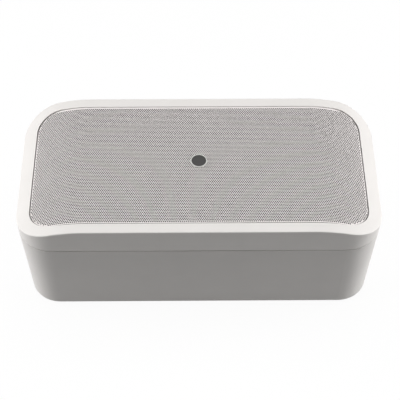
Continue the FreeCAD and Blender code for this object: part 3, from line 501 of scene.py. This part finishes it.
def lathe(profile, centre, segments):
    """Points and faces of a closed (radius, height) profile turned about an upright axis."""
    count = len(profile)
    points = []
    faces = []
    for step in range(segments):
        angle = 2 * math.pi * step / segments
        for radius, height in profile:
            x = centre[0] + radius * math.cos(angle)
            y = centre[1] + radius * math.sin(angle)
            points.append((x, y, height))
    for step in range(segments):
        here = step * count
        there = (step + 1) % segments * count
        for number in range(count):
            after = (number + 1) % count
            faces.append((here + number, there + number, there + after, here + after))
    return points, faces


# Grille
grille_low, grille_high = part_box("grille")
half_length = (grille_high.x - grille_low.x) / 2
half_depth = (grille_high.y - grille_low.y) / 2
half_flat = half_length + GRILLE_GAP + RIM_END - CROWN_END
half_length -= END_TRIM
peak = grille_high.z
roll_reach = CROWN_END - RIM_END - GRILLE_GAP
rim_fall = CROWN_RADIUS - math.sqrt(CROWN_RADIUS ** 2 - roll_reach ** 2)
roll_fall = rim_fall + GRILLE_RISE
roll_radius = (roll_reach ** 2 / roll_fall + roll_fall) / 2
dome_radius = (half_depth ** 2 / GRILLE_RISE + GRILLE_RISE) / 2
outline_middle = BACK_REACH / 2
outline_half = half_depth + BACK_REACH / 2


def face_height(x, y, drop):
    """Height of the grille's face, or of a layer under it, at a place in plan."""
    past = np.maximum(np.abs(x) - half_flat, 0.0)
    profile = peak - roll_radius + np.sqrt((roll_radius - drop) ** 2 - past ** 2)
    from_axis = profile - peak + dome_radius
    return peak - dome_radius + np.sqrt(from_axis ** 2 - y ** 2)


def unroll(x):
    """Length along the formed sheet from its middle to a place in plan."""
    past = np.maximum(np.abs(x) - half_flat, 0.0)
    return np.sign(x) * (np.minimum(np.abs(x), half_flat) + roll_radius * np.arcsin(past / roll_radius))


def roll_up(along):
    """The place in plan of a length along the sheet."""
    past = np.maximum(np.abs(along) - half_flat, 0.0)
    return np.sign(along) * (np.minimum(np.abs(along), half_flat) + roll_radius * np.sin(past / roll_radius))


def edge_distance(x, y):
    """How far a place in plan lies inside the grille's rounded outline."""
    over_x = np.abs(x) - (half_length - GRILLE_CORNER)
    over_y = np.abs(y - outline_middle) - (outline_half - GRILLE_CORNER)
    corner = np.hypot(np.maximum(over_x, 0.0), np.maximum(over_y, 0.0))
    return GRILLE_CORNER - corner - np.minimum(np.maximum(over_x, over_y), 0.0)


def outline(inset):
    """The grille's rounded outline in plan, moved in, as points spaced alike at every inset."""
    radius = GRILLE_CORNER - inset
    core_x = half_length - GRILLE_CORNER
    core_y = outline_half - GRILLE_CORNER
    points = []
    quarter = math.pi / 2
    turns = ((1, 1), (-1, 1), (-1, -1), (1, -1))
    for number, (side_x, side_y) in enumerate(turns):
        for turn in range(CORNER_STEPS + 1):
            angle = quarter * (number + turn / CORNER_STEPS)
            y = outline_middle + side_y * core_y + radius * math.sin(angle)
            points.append((side_x * core_x + radius * math.cos(angle), y))
        next_x, next_y = turns[(number + 1) % 4]
        run = Vector((next_x - side_x, next_y - side_y)) / 2
        length = 2 * (core_x * abs(run.x) + core_y * abs(run.y))
        parts = round(length / OUTLINE_STEP)
        start = Vector(points[-1])
        points += [tuple(start + run * (length * part / parts)) for part in range(1, parts)]
    return np.array(points)


def perforation():
    """Centres of the holes in the unrolled sheet, and which of them have a whole cell of sheet round them."""
    rows = int(half_depth / ROW_STEP) + 1
    columns = int(float(unroll(np.array(half_length))) / HOLE_PITCH) + 1
    centres = []
    for row in range(-rows, rows + 1):
        for column in range(-columns, columns + 1):
            centres.append(((column + row % 2 / 2) * HOLE_PITCH, row * ROW_STEP + HOLE_SHIFT))
    centres = np.array(centres)
    inside = edge_distance(roll_up(centres[:, 0]), centres[:, 1]) > HOLE_BORDER + HOLE_RADIUS
    inside &= half_depth + BACK_REACH - centres[:, 1] > BACK_BORDER + HOLE_RADIUS
    centres = centres[inside]
    corners = centres[:, None, :] + cell_corners()[None, :, :]
    room = edge_distance(roll_up(corners[..., 0]), corners[..., 1]).min(axis=1)
    return centres, room > HOLE_BORDER


def cell_angles():
    return math.pi / 6 + np.arange(CELL_SIDES) * math.pi / 3


def hole_angles():
    return (np.arange(HOLE_SIDES) + 0.5) * 2 * math.pi / HOLE_SIDES


def cell_corners():
    """A hole's six-sided cell of sheet, counter-clockwise."""
    return HOLE_PITCH / math.sqrt(3) * np.column_stack([np.cos(cell_angles()), np.sin(cell_angles())])


def hole_corners():
    return HOLE_RADIUS * np.column_stack([np.cos(hole_angles()), np.sin(hole_angles())])


def cell_triangles():
    """Triangles of one cell between its outer corners, 0 to 5, and the hole's corners after them."""
    outer = list(enumerate(cell_angles()))
    inner = list(enumerate(hole_angles(), CELL_SIDES))
    triangles = []
    here = [0, 0]
    while here[0] < CELL_SIDES or here[1] < HOLE_SIDES:
        ends = []
        for ring, place in zip((outer, inner), here):
            wraps = place + 1 >= len(ring)
            angle = ring[(place + 1) % len(ring)][1] + (2 * math.pi if wraps else 0)
            ends.append(angle if place < len(ring) else math.inf)
        outer_now = outer[here[0] % CELL_SIDES][0]
        inner_now = inner[here[1] % HOLE_SIDES][0]
        if ends[0] <= ends[1]:
            here[0] += 1
            triangles.append((outer_now, outer[here[0] % CELL_SIDES][0], inner_now))
        else:
            here[1] += 1
            triangles.append((outer_now, inner[here[1] % HOLE_SIDES][0], inner_now))
    return np.array(triangles)


def merge_points(points):
    """The same points with copies taken out, and where each went."""
    keys = np.round(points / MERGE_REACH).astype(np.int64)
    _, first, index = np.unique(keys, axis=0, return_index=True, return_inverse=True)
    return points[first], index.ravel()


def nearest_holes(points):
    """The place in the pattern of holes that is nearest to each point, and how far away it is."""
    row = np.round((points[:, 1] - HOLE_SHIFT) / ROW_STEP)
    distance = np.full(len(points), np.inf)
    nearest = np.zeros((len(points), 2))
    for shift in (-1, 0, 1):
        near_row = row + shift
        offset = np.mod(near_row, 2) / 2
        column = np.round(points[:, 0] / HOLE_PITCH - offset)
        place = np.column_stack([(column + offset) * HOLE_PITCH, near_row * ROW_STEP + HOLE_SHIFT])
        away = np.hypot(points[:, 0] - place[:, 0], points[:, 1] - place[:, 1])
        closer = away < distance
        distance[closer] = away[closer]
        nearest[closer] = place[closer]
    return nearest, distance


def hole_key(place):
    return tuple(np.round(place / MM, 3))


def border_sheet(centres, whole):
    """The sheet between the whole cells and the turned edge, with the holes that fit in it."""
    ring = outline(SKIRT_THICK)
    ring = np.column_stack([unroll(ring[:, 0]), ring[:, 1]])
    cells = centres[whole][:, None, :] + cell_corners()[None, :, :]
    cells = cells[edge_distance(roll_up(centres[whole][:, 0]), centres[whole][:, 1]) < BORDER_REACH]
    holes = centres[~whole][:, None, :] + hole_corners()[None, :, :]
    loops = [ring, *cells, *holes]
    points, index = merge_points(np.vstack(loops))
    edges = set()
    start = 0
    for loop in loops:
        ids = index[start:start + len(loop)]
        edges.update((int(min(a, b)), int(max(a, b))) for a, b in zip(ids, np.roll(ids, -1)))
        start += len(loop)
    made = delaunay_2d_cdt([Vector(p) for p in points], sorted(edges), [], 0, MESH_REACH)
    flat = np.array([tuple(p) for p in made[0]])
    triangles = np.array([face for face in made[2] if len(face) == 3])
    nearest, distance = nearest_holes(flat[triangles].mean(axis=1))
    is_whole = {hole_key(centre): bool(kind) for centre, kind in zip(centres, whole)}
    reach = HOLE_RADIUS * math.cos(math.pi / HOLE_SIDES)
    kept = []
    for triangle, place, away in zip(triangles, nearest, distance):
        kind = is_whole.get(hole_key(place))
        if kind is None or (not kind and away > reach):
            kept.append(triangle)
    return flat, np.array(kept)


def thicken(flat, triangles, face_drop, back_drop, skip=None):
    """A closed sheet from unrolled triangles: face, back, and walls on every free edge not skipped."""
    x = roll_up(flat[:, 0])
    y = flat[:, 1]
    top = np.column_stack([x, y, face_height(x, y, face_drop)])
    back = np.column_stack([x, y, face_height(x, y, back_drop)])
    count = len(flat)
    edges = np.vstack([triangles[:, [0, 1]], triangles[:, [1, 2]], triangles[:, [2, 0]]])
    keys = edges[:, 0].astype(np.int64) * count + edges[:, 1]
    mates = edges[:, 1].astype(np.int64) * count + edges[:, 0]
    free = edges[~np.isin(keys, mates)]
    if skip is not None:
        free = free[~(skip[free[:, 0]] & skip[free[:, 1]])]
    a, b = free[:, 0], free[:, 1]
    walls = np.vstack([np.column_stack([b, a, a + count]), np.column_stack([b, a + count, b + count])])
    return np.vstack([top, back]), np.vstack([triangles, triangles[:, ::-1] + count, walls])


def turned_edge():
    """The sheet's rolled edge and skirt, from its face round to its back, as rings of points."""
    half_round = GRILLE_EDGE_ROUND * (1 - math.sqrt(0.5))
    face = outline(SKIRT_THICK)
    rings = [np.column_stack([face, face_height(*face.T, 0.0)])]
    for inset, fall in ((GRILLE_EDGE_ROUND, 0.0), (half_round, half_round), (0.0, GRILLE_EDGE_ROUND)):
        plan = outline(inset)
        rings.append(np.column_stack([plan, face_height(*plan.T, 0.0) - fall]))
    for inset in (0.0, SKIRT_THICK):
        plan = outline(inset)
        rings.append(np.column_stack([plan, np.full(len(plan), grille_low.z)]))
    rings.append(np.column_stack([face, face_height(*face.T, GRILLE_THICK)]))
    count = len(face)
    triangles = []
    for number in range(len(rings) - 1):
        for step in range(count):
            a, b = number * count + step, number * count + (step + 1) % count
            triangles += [(a, a + count, b), (b, a + count, b + count)]
    return np.vstack(rings), np.array(triangles)


def build_grille():
    centres, whole = perforation()
    flat, triangles = border_sheet(centres, whole)
    on_ring = np.isclose(edge_distance(roll_up(flat[:, 0]), flat[:, 1]), SKIRT_THICK, atol=ON_RING)
    points, faces = thicken(flat, triangles, 0.0, GRILLE_THICK, on_ring)
    edge_points, edge_faces = turned_edge()
    points, index = merge_points(np.vstack([points, edge_points]))
    faces = index[np.vstack([faces, edge_faces + len(index) - len(edge_points)])]
    pieces = [make_triangles("grille_edge", points, faces, "cabinet", "grille_metal")]
    cells = centres[whole]
    cells = cells[np.lexsort((cells[:, 1], cells[:, 0]))]
    pattern = np.vstack([cell_corners(), hole_corners()])
    ring = cell_triangles()
    for number, panel in enumerate(np.array_split(cells, GRILLE_PANELS)):
        flat = (panel[:, None, :] + pattern[None, :, :]).reshape(-1, 2)
        triangles = (np.arange(len(panel))[:, None, None] * len(pattern) + ring[None, :, :]).reshape(-1, 3)
        flat, index = merge_points(flat)
        points, faces = thicken(flat, index[triangles], 0.0, GRILLE_THICK)
        name = f"grille_panel_{number + 1}"
        pieces.append(make_triangles(name, points, faces, "cabinet", "grille_metal"))
    for piece in pieces:
        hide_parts("grille")


def build_scrim():
    """Acoustic cloth stretched under the perforated face."""
    ring = outline(SCRIM_INSET)
    ring = np.column_stack([unroll(ring[:, 0]), ring[:, 1]])
    reach = np.abs(ring).max(axis=0)
    columns, rows = (np.arange(-size, size, SCRIM_STEP) for size in reach)
    spread = np.array([(column, row) for column in columns for row in rows])
    inside = edge_distance(roll_up(spread[:, 0]), spread[:, 1]) > SCRIM_INSET + SCRIM_STEP / 2
    points = np.vstack([ring, spread[inside]])
    edges = [(number, (number + 1) % len(ring)) for number in range(len(ring))]
    made = delaunay_2d_cdt([Vector(p) for p in points], edges, [], 0, MESH_REACH)
    flat = np.array([tuple(p) for p in made[0]])
    face_drop = GRILLE_THICK + SCRIM_GAP
    points, faces = thicken(flat, np.array(made[2]), face_drop, face_drop + SCRIM_THICK)
    piece = make_triangles("scrim", points, faces, "cabinet", "scrim_cloth")
    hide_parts("grille_scrim")


build_grille()
build_scrim()


# Suspension: bends between the basket and the moving cone
def arc(centre, radius, first, last, steps):
    """Points of an arc between two angles in degrees."""
    angles = [math.radians(first + (last - first) * step / steps) for step in range(steps + 1)]
    return [(centre[0] + radius * math.cos(angle), centre[1] + radius * math.sin(angle)) for angle in angles]


def surround_profile(outer, low):
    """A half roll with a landing on each side, and the radii between which it bends."""
    bore = outer - SUSPENSION_LAND
    middle = (bore - ROLL_RADIUS, low)
    edge = bore - 2 * ROLL_RADIUS
    lean = math.degrees(math.asin(SURROUND_THICK / (ROLL_RADIUS + SURROUND_THICK)))
    top = low + SURROUND_THICK
    profile = [(outer, low), (outer, top)]
    profile += arc(middle, ROLL_RADIUS + SURROUND_THICK, lean, 180 - lean, ROLL_STEPS)
    profile += [(edge - SUSPENSION_LAND, top), (edge - SUSPENSION_LAND, low)]
    profile += arc(middle, ROLL_RADIUS, 180, 0, ROLL_STEPS)
    return profile, bore, edge


def spider_profile(outer, high):
    """A disc with smooth rolls pressed into it, and the radii between which it bends."""
    start = FORMER_RADIUS + SPIDER_COLLAR
    end = outer - SPIDER_LAND
    steps = SPIDER_WAVES * WAVE_STEPS
    upper = [(FORMER_RADIUS, high)]
    for step in range(steps + 1):
        lift = (1 - math.cos(math.pi * SPIDER_WAVES * step / steps)) / 2
        upper.append((start + (end - start) * step / steps, high - SPIDER_WAVE * lift))
    upper.append((outer, high))
    lower = [(radius, height - SPIDER_THICK) for radius, height in reversed(upper)]
    return (upper + lower)[::-1], end, start


def build_flexible(node, body, profile, still, moving):
    """A lathe piece turned from the profile about the node's middle, in place of the node; body, still and
    moving are not used.
    """
    low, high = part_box(node)
    middle = (low + high) / 2
    points, faces = lathe(profile, (middle.x, middle.y), LATHE_STEPS)
    piece = make_piece(f"{node}_formed", points, faces, None, slot_of[node], smooth=True)
    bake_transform(piece)
    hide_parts(node)


def build_suspension(side):
    low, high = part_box(f"surround_{side}")
    build_flexible(f"surround_{side}", f"woofer_cone_{side}", *surround_profile((high.x - low.x) / 2, low.z))
    low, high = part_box(f"spider_{side}")
    build_flexible(f"spider_{side}", f"woofer_cone_{side}", *spider_profile((high.x - low.x) / 2, high.z))


# Windings
def build_winding(node, body, inner, wire):
    """A coil whose outer turns show, one wire over the next."""
    low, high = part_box(node)
    outer = (high.x - low.x) / 2
    turns = round((high.z - low.z) / wire)
    pitch = (high.z - low.z) / turns
    profile = [(inner, low.z)]
    for turn in range(turns):
        middle = (outer - pitch / 2, low.z + pitch * (turn + 0.5))
        profile += arc(middle, pitch / 2, -WIRE_REACH, WIRE_REACH, WIRE_STEPS)
    profile.append((inner, high.z))
    points, faces = lathe(profile, ((low.x + high.x) / 2, (low.y + high.y) / 2), WINDING_STEPS)
    piece = make_piece(f"{node}_turns", points, faces, body, "copper_wire", smooth=True)
    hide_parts(node)


for side in ("left", "right"):
    build_suspension(side)
    build_winding(f"voice_coil_{side}", f"woofer_cone_{side}", FORMER_RADIUS, COIL_WIRE)
build_winding("filter_inductor", "cabinet", CORE_RADIUS, INDUCTOR_WIRE)


# Screws
def screw_head():
    """A pan head with a cross recess, standing on its seat."""
    profile = [(0.0, 0.0), (SCREW_HEAD_RADIUS, 0.0), (SCREW_HEAD_RADIUS, HEAD_BROW)]
    for step in range(1, HEAD_STEPS + 1):
        angle = math.pi / 2 * step / HEAD_STEPS
        radius = SCREW_HEAD_RADIUS * (HEAD_FLAT + (1 - HEAD_FLAT) * math.cos(angle))
        profile.append((radius, HEAD_BROW + (SCREW_HEAD - HEAD_BROW) * math.sin(angle)))
    profile.append((0.0, SCREW_HEAD))
    points, faces = lathe(profile, (0, 0), HEAD_SIDES)
    head = bpy.data.meshes.new("screw_head")
    head.from_pydata(points, [], faces)
    head.update()
    blank = bpy.data.objects.new("screw_blank", head)
    bpy.context.scene.collection.objects.link(blank)
    weld = blank.modifiers.new("weld", "WELD")
    weld.merge_threshold = WELD_REACH
    cutter = cross_cutter()
    recess = blank.modifiers.new("recess", "BOOLEAN")
    recess.operation = "DIFFERENCE"
    recess.object = cutter
    recess.solver = "EXACT"
    graph = bpy.context.evaluated_depsgraph_get()
    made = bpy.data.meshes.new_from_object(blank.evaluated_get(graph))
    shape = [tuple(v.co) for v in made.vertices], [tuple(p.vertices) for p in made.polygons]
    for spare in (blank, cutter):
        bpy.data.objects.remove(spare)
    return shape


def cross_cutter():
    """The recess's cross, narrower at its floor."""
    arm = ((RECESS_LENGTH, -RECESS_WIDTH), (RECESS_LENGTH, RECESS_WIDTH), (RECESS_WIDTH, RECESS_WIDTH))
    corners = []
    for quarter in range(4):
        turn = Matrix.Rotation(math.radians(90 * quarter), 2)
        corners += [turn @ Vector(corner) for corner in arm]
    count = len(corners)
    points = []
    for height, share in ((SCREW_HEAD - RECESS_DEPTH, RECESS_FLOOR), (RECESS_TOP, RECESS_MOUTH)):
        points += [(*(corner * share), height) for corner in corners]
    faces = [tuple(range(count))[::-1], tuple(range(count, 2 * count))]
    for number in range(count):
        after = (number + 1) % count
        faces.append((number, after, after + count, number + count))
    mesh = bpy.data.meshes.new("cross_cutter")
    mesh.from_pydata(points, [], faces)
    mesh.update()
    cutter = bpy.data.objects.new("cross_cutter", mesh)
    bpy.context.scene.collection.objects.link(cutter)
    return cutter


def screw_shank(length):
    """A threaded shank under the seat, with a short taper at its tip."""
    rings = max(2, round(length / THREAD_PITCH * THREAD_RINGS))
    points = []
    faces = []
    for ring in range(rings + 1):
        height = -length * ring / rings
        taper = min(1.0, (length + height) / TIP_LENGTH + TIP_SHARE)
        for step in range(THREAD_STEPS):
            turn = step / THREAD_STEPS
            crest = 1 - abs(2 * ((height / THREAD_PITCH + turn) % 1) - 1)
            radius = (SCREW_RADIUS - THREAD_DEPTH * (1 - crest)) * taper
            angle = 2 * math.pi * turn
            points.append((radius * math.cos(angle), radius * math.sin(angle), height))
    for ring in range(rings):
        for step in range(THREAD_STEPS):
            after = (step + 1) % THREAD_STEPS
            a, b = ring * THREAD_STEPS + step, ring * THREAD_STEPS + after
            faces.append((a, a + THREAD_STEPS, b + THREAD_STEPS, b))
    faces.append(tuple(range(THREAD_STEPS)))
    faces.append(tuple(rings * THREAD_STEPS + step for step in reversed(range(THREAD_STEPS))))
    return points, faces


def screw_places(node, turn):
    """Where a node's screws seat and how long their shanks are, in a frame whose Z runs along them."""
    points = [turn @ vertex.co for vertex in nodes[node].data.vertices]
    groups = []
    for point in points:
        for group in groups:
            if (group[0] - point).xy.length < SCREW_SPACING:
                group.append(point)
                break
        else:
            groups.append([point])
    places = []
    for group in groups:
        low, high = (Vector([pick(p[axis] for p in group) for axis in range(3)]) for pick in (min, max))
        seat = high.z - SCREW_HEAD
        places.append((Vector(((low.x + high.x) / 2, (low.y + high.y) / 2, seat)), seat - low.z))
    return places


def build_screws(node, turn, head):
    points = []
    faces = []
    back = turn.inverted()
    for place, length in screw_places(node, turn):
        for form in (head, screw_shank(length)):
            first = len(points)
            points += [tuple(back @ (place + Vector(p))) for p in form[0]]
            faces += [tuple(first + number for number in face) for face in form[1]]
    piece = make_piece(f"{node}_cut", points, faces, "cabinet", "screw_steel")
    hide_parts(node)


upright = Matrix.Identity(3)
facing_back = Matrix.Rotation(math.radians(90), 3, "X")
head_form = screw_head()
for node in ("frame_screws", "board_screws", "driver_screws_left", "driver_screws_right"):
    build_screws(node, upright, head_form)
build_screws("terminal_screws", facing_back, head_form)


# Wadding
def build_wadding():
    """A crowned pad of loose fibre that lies on the floor of the tub."""
    low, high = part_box("damping_pad")
    middle = (low + high) / 2
    half = (high - low) / 2
    counts = [round(2 * size / PAD_STEP) for size in half[:2]]
    points = []
    faces = []
    index = {}
    for layer in (1, 0):
        for row in range(counts[1] + 1):
            for column in range(counts[0] + 1):
                u, v = 2 * column / counts[0] - 1, 2 * row / counts[1] - 1
                edge = max(abs(u), abs(v)) == 1
                if edge and not layer:
                    index[0, row, column] = index[1, row, column]
                    continue
                across, along = u ** PAD_SQUARE, v ** PAD_SQUARE
                crown = (1 - across) * (1 - along)
                x = middle.x + half.x * u * math.sqrt(1 - PAD_ROUND * along)
                y = middle.y + half.y * v * math.sqrt(1 - PAD_ROUND * across)
                fluff = noise.fractal(Vector((x, y, 0)) * TUFT_SCALE, 1.0, 2.0, TUFT_OCTAVES)
                tuft = PAD_TUFT * fluff * crown
                share = PAD_EDGE + (1 - PAD_EDGE) * crown ** PAD_CROWN
                height = low.z + (2 * half.z - PAD_TUFT) * share + min(tuft, PAD_TUFT)
                index[layer, row, column] = len(points)
                points.append((x, y, height if layer else low.z))
    for layer in (1, 0):
        for row in range(counts[1]):
            for column in range(counts[0]):
                loop = [index[layer, row + b, column + a] for a, b in ((0, 0), (1, 0), (1, 1), (0, 1))]
                faces.append(loop if layer else loop[::-1])
    piece = make_piece("wadding", points, faces, "cabinet", "wadding", smooth=True)
    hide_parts("damping_pad")


build_wadding()


# Small edges
def soften(node, width):
    weld = nodes[node].modifiers.new("weld", "WELD")
    weld.merge_threshold = WELD_REACH
    bevel = nodes[node].modifiers.new("bevel", "BEVEL")
    bevel.width = width
    bevel.segments = SOFT_SEGMENTS
    bevel.limit_method = "ANGLE"
    bevel.angle_limit = math.radians(SOFT_ANGLE)


for node, width in SOFT_EDGES.items():
    soften(node, width * MM)


# Floor, light and camera
def sees_background(tree):
    """1 for the rays that show the background: the camera's, and those that gloss and glass send on."""
    path = tree.nodes.new("ShaderNodeLightPath")
    total = path.outputs["Is Camera Ray"]
    for name in ("Is Glossy Ray", "Is Transmission Ray"):
        joined = tree.nodes.new("ShaderNodeMath")
        joined.operation = "MAXIMUM"
        tree.links.new(total, joined.inputs[0])
        tree.links.new(path.outputs[name], joined.inputs[1])
        total = joined.outputs[0]
    return total


def make_floor():
    mesh = bpy.data.meshes.new("floor")
    half = FLOOR_SIZE / 2
    corners = [(-half, -half, 0), (half, -half, 0), (half, half, 0), (-half, half, 0)]
    mesh.from_pydata(corners, [], [(0, 1, 2, 3)])
    floor = bpy.data.objects.new("floor", mesh)
    bpy.context.scene.collection.objects.link(floor)
    material = bpy.data.materials.new("floor")
    material.use_nodes = True
    tree = material.node_tree
    tree.nodes.remove(tree.nodes["Principled BSDF"])
    glow = tree.nodes.new("ShaderNodeEmission")
    glow.inputs["Strength"].default_value = 1 - FLOOR_SHADOW
    paper = tree.nodes.new("ShaderNodeBsdfDiffuse")
    paper.inputs["Color"].default_value = (FLOOR_SHADOW, FLOOR_SHADOW, FLOOR_SHADOW, 1)
    shown = tree.nodes.new("ShaderNodeAddShader")
    tree.links.new(glow.outputs[0], shown.inputs[0])
    tree.links.new(paper.outputs[0], shown.inputs[1])
    bounce = tree.nodes.new("ShaderNodeBsdfDiffuse")
    bounce.inputs["Color"].default_value = (FLOOR_BOUNCE, FLOOR_BOUNCE, FLOOR_BOUNCE, 1)
    mix = tree.nodes.new("ShaderNodeMixShader")
    tree.links.new(sees_background(tree), mix.inputs[0])
    tree.links.new(bounce.outputs[0], mix.inputs[1])
    tree.links.new(shown.outputs[0], mix.inputs[2])
    tree.links.new(mix.outputs[0], tree.nodes["Material Output"].inputs["Surface"])
    mesh.materials.append(material)


def make_world():
    world = bpy.data.worlds.new("studio")
    bpy.context.scene.world = world
    world.use_nodes = True
    tree = world.node_tree
    ambient = tree.nodes["Background"]
    ambient.inputs["Color"].default_value = WHITE
    ambient.inputs["Strength"].default_value = AMBIENT
    backdrop = tree.nodes.new("ShaderNodeBackground")
    backdrop.inputs["Color"].default_value = WHITE
    backdrop.inputs["Strength"].default_value = 1.0
    mix = tree.nodes.new("ShaderNodeMixShader")
    tree.links.new(sees_background(tree), mix.inputs[0])
    tree.links.new(ambient.outputs[0], mix.inputs[1])
    tree.links.new(backdrop.outputs[0], mix.inputs[2])
    tree.links.new(mix.outputs[0], tree.nodes["World Output"].inputs["Surface"])


def make_lamp(name, place, aim, size, power):
    """A soft rectangular lamp that faces a point."""
    data = bpy.data.lights.new(name, "AREA")
    data.shape = "RECTANGLE"
    data.size, data.size_y = size
    data.energy = power
    lamp = bpy.data.objects.new(name, data)
    lamp.location = place
    lamp.rotation_mode = "QUATERNION"
    lamp.rotation_quaternion = (Vector(aim) - Vector(place)).to_track_quat("-Z", "Y")
    lamp.visible_camera = False
    bpy.context.scene.collection.objects.link(lamp)


def make_camera():
    pitch, yaw, roll = (math.radians(angle) for angle in (CAMERA_PITCH, CAMERA_YAW, CAMERA_ROLL))
    forward = Vector((math.sin(yaw) * math.cos(pitch), math.cos(yaw) * math.cos(pitch), -math.sin(pitch)))
    level = Vector((math.cos(yaw), -math.sin(yaw), 0))
    above = level.cross(forward)
    right = level * math.cos(roll) + above * math.sin(roll)
    up = above * math.cos(roll) - level * math.sin(roll)
    data = bpy.data.cameras.new("camera")
    data.sensor_width = SENSOR
    data.lens = CAMERA_LENS
    camera = bpy.data.objects.new("camera", data)
    turn = Matrix((right, up, -forward)).transposed().to_4x4()
    camera.matrix_world = Matrix.Translation(CAMERA_PLACE) @ turn
    bpy.context.scene.collection.objects.link(camera)
    bpy.context.scene.camera = camera


make_floor()
make_world()
make_lamp("lamp_top", TOP_PLACE, TOP_AIM, TOP_SIZE, TOP_POWER)
make_lamp("lamp_left", (-SIDE_AWAY, SIDE_BACK, SIDE_HEIGHT), SIDE_AIM, SIDE_SIZE, SIDE_POWER)
make_lamp("lamp_right", (SIDE_AWAY, SIDE_BACK, SIDE_HEIGHT), SIDE_AIM, SIDE_SIZE, SIDE_POWER)
make_lamp("lamp_table", TABLE_PLACE, TABLE_AIM, TABLE_SIZE, TABLE_POWER)
make_camera()
bpy.context.scene.view_settings.view_transform = "Standard"
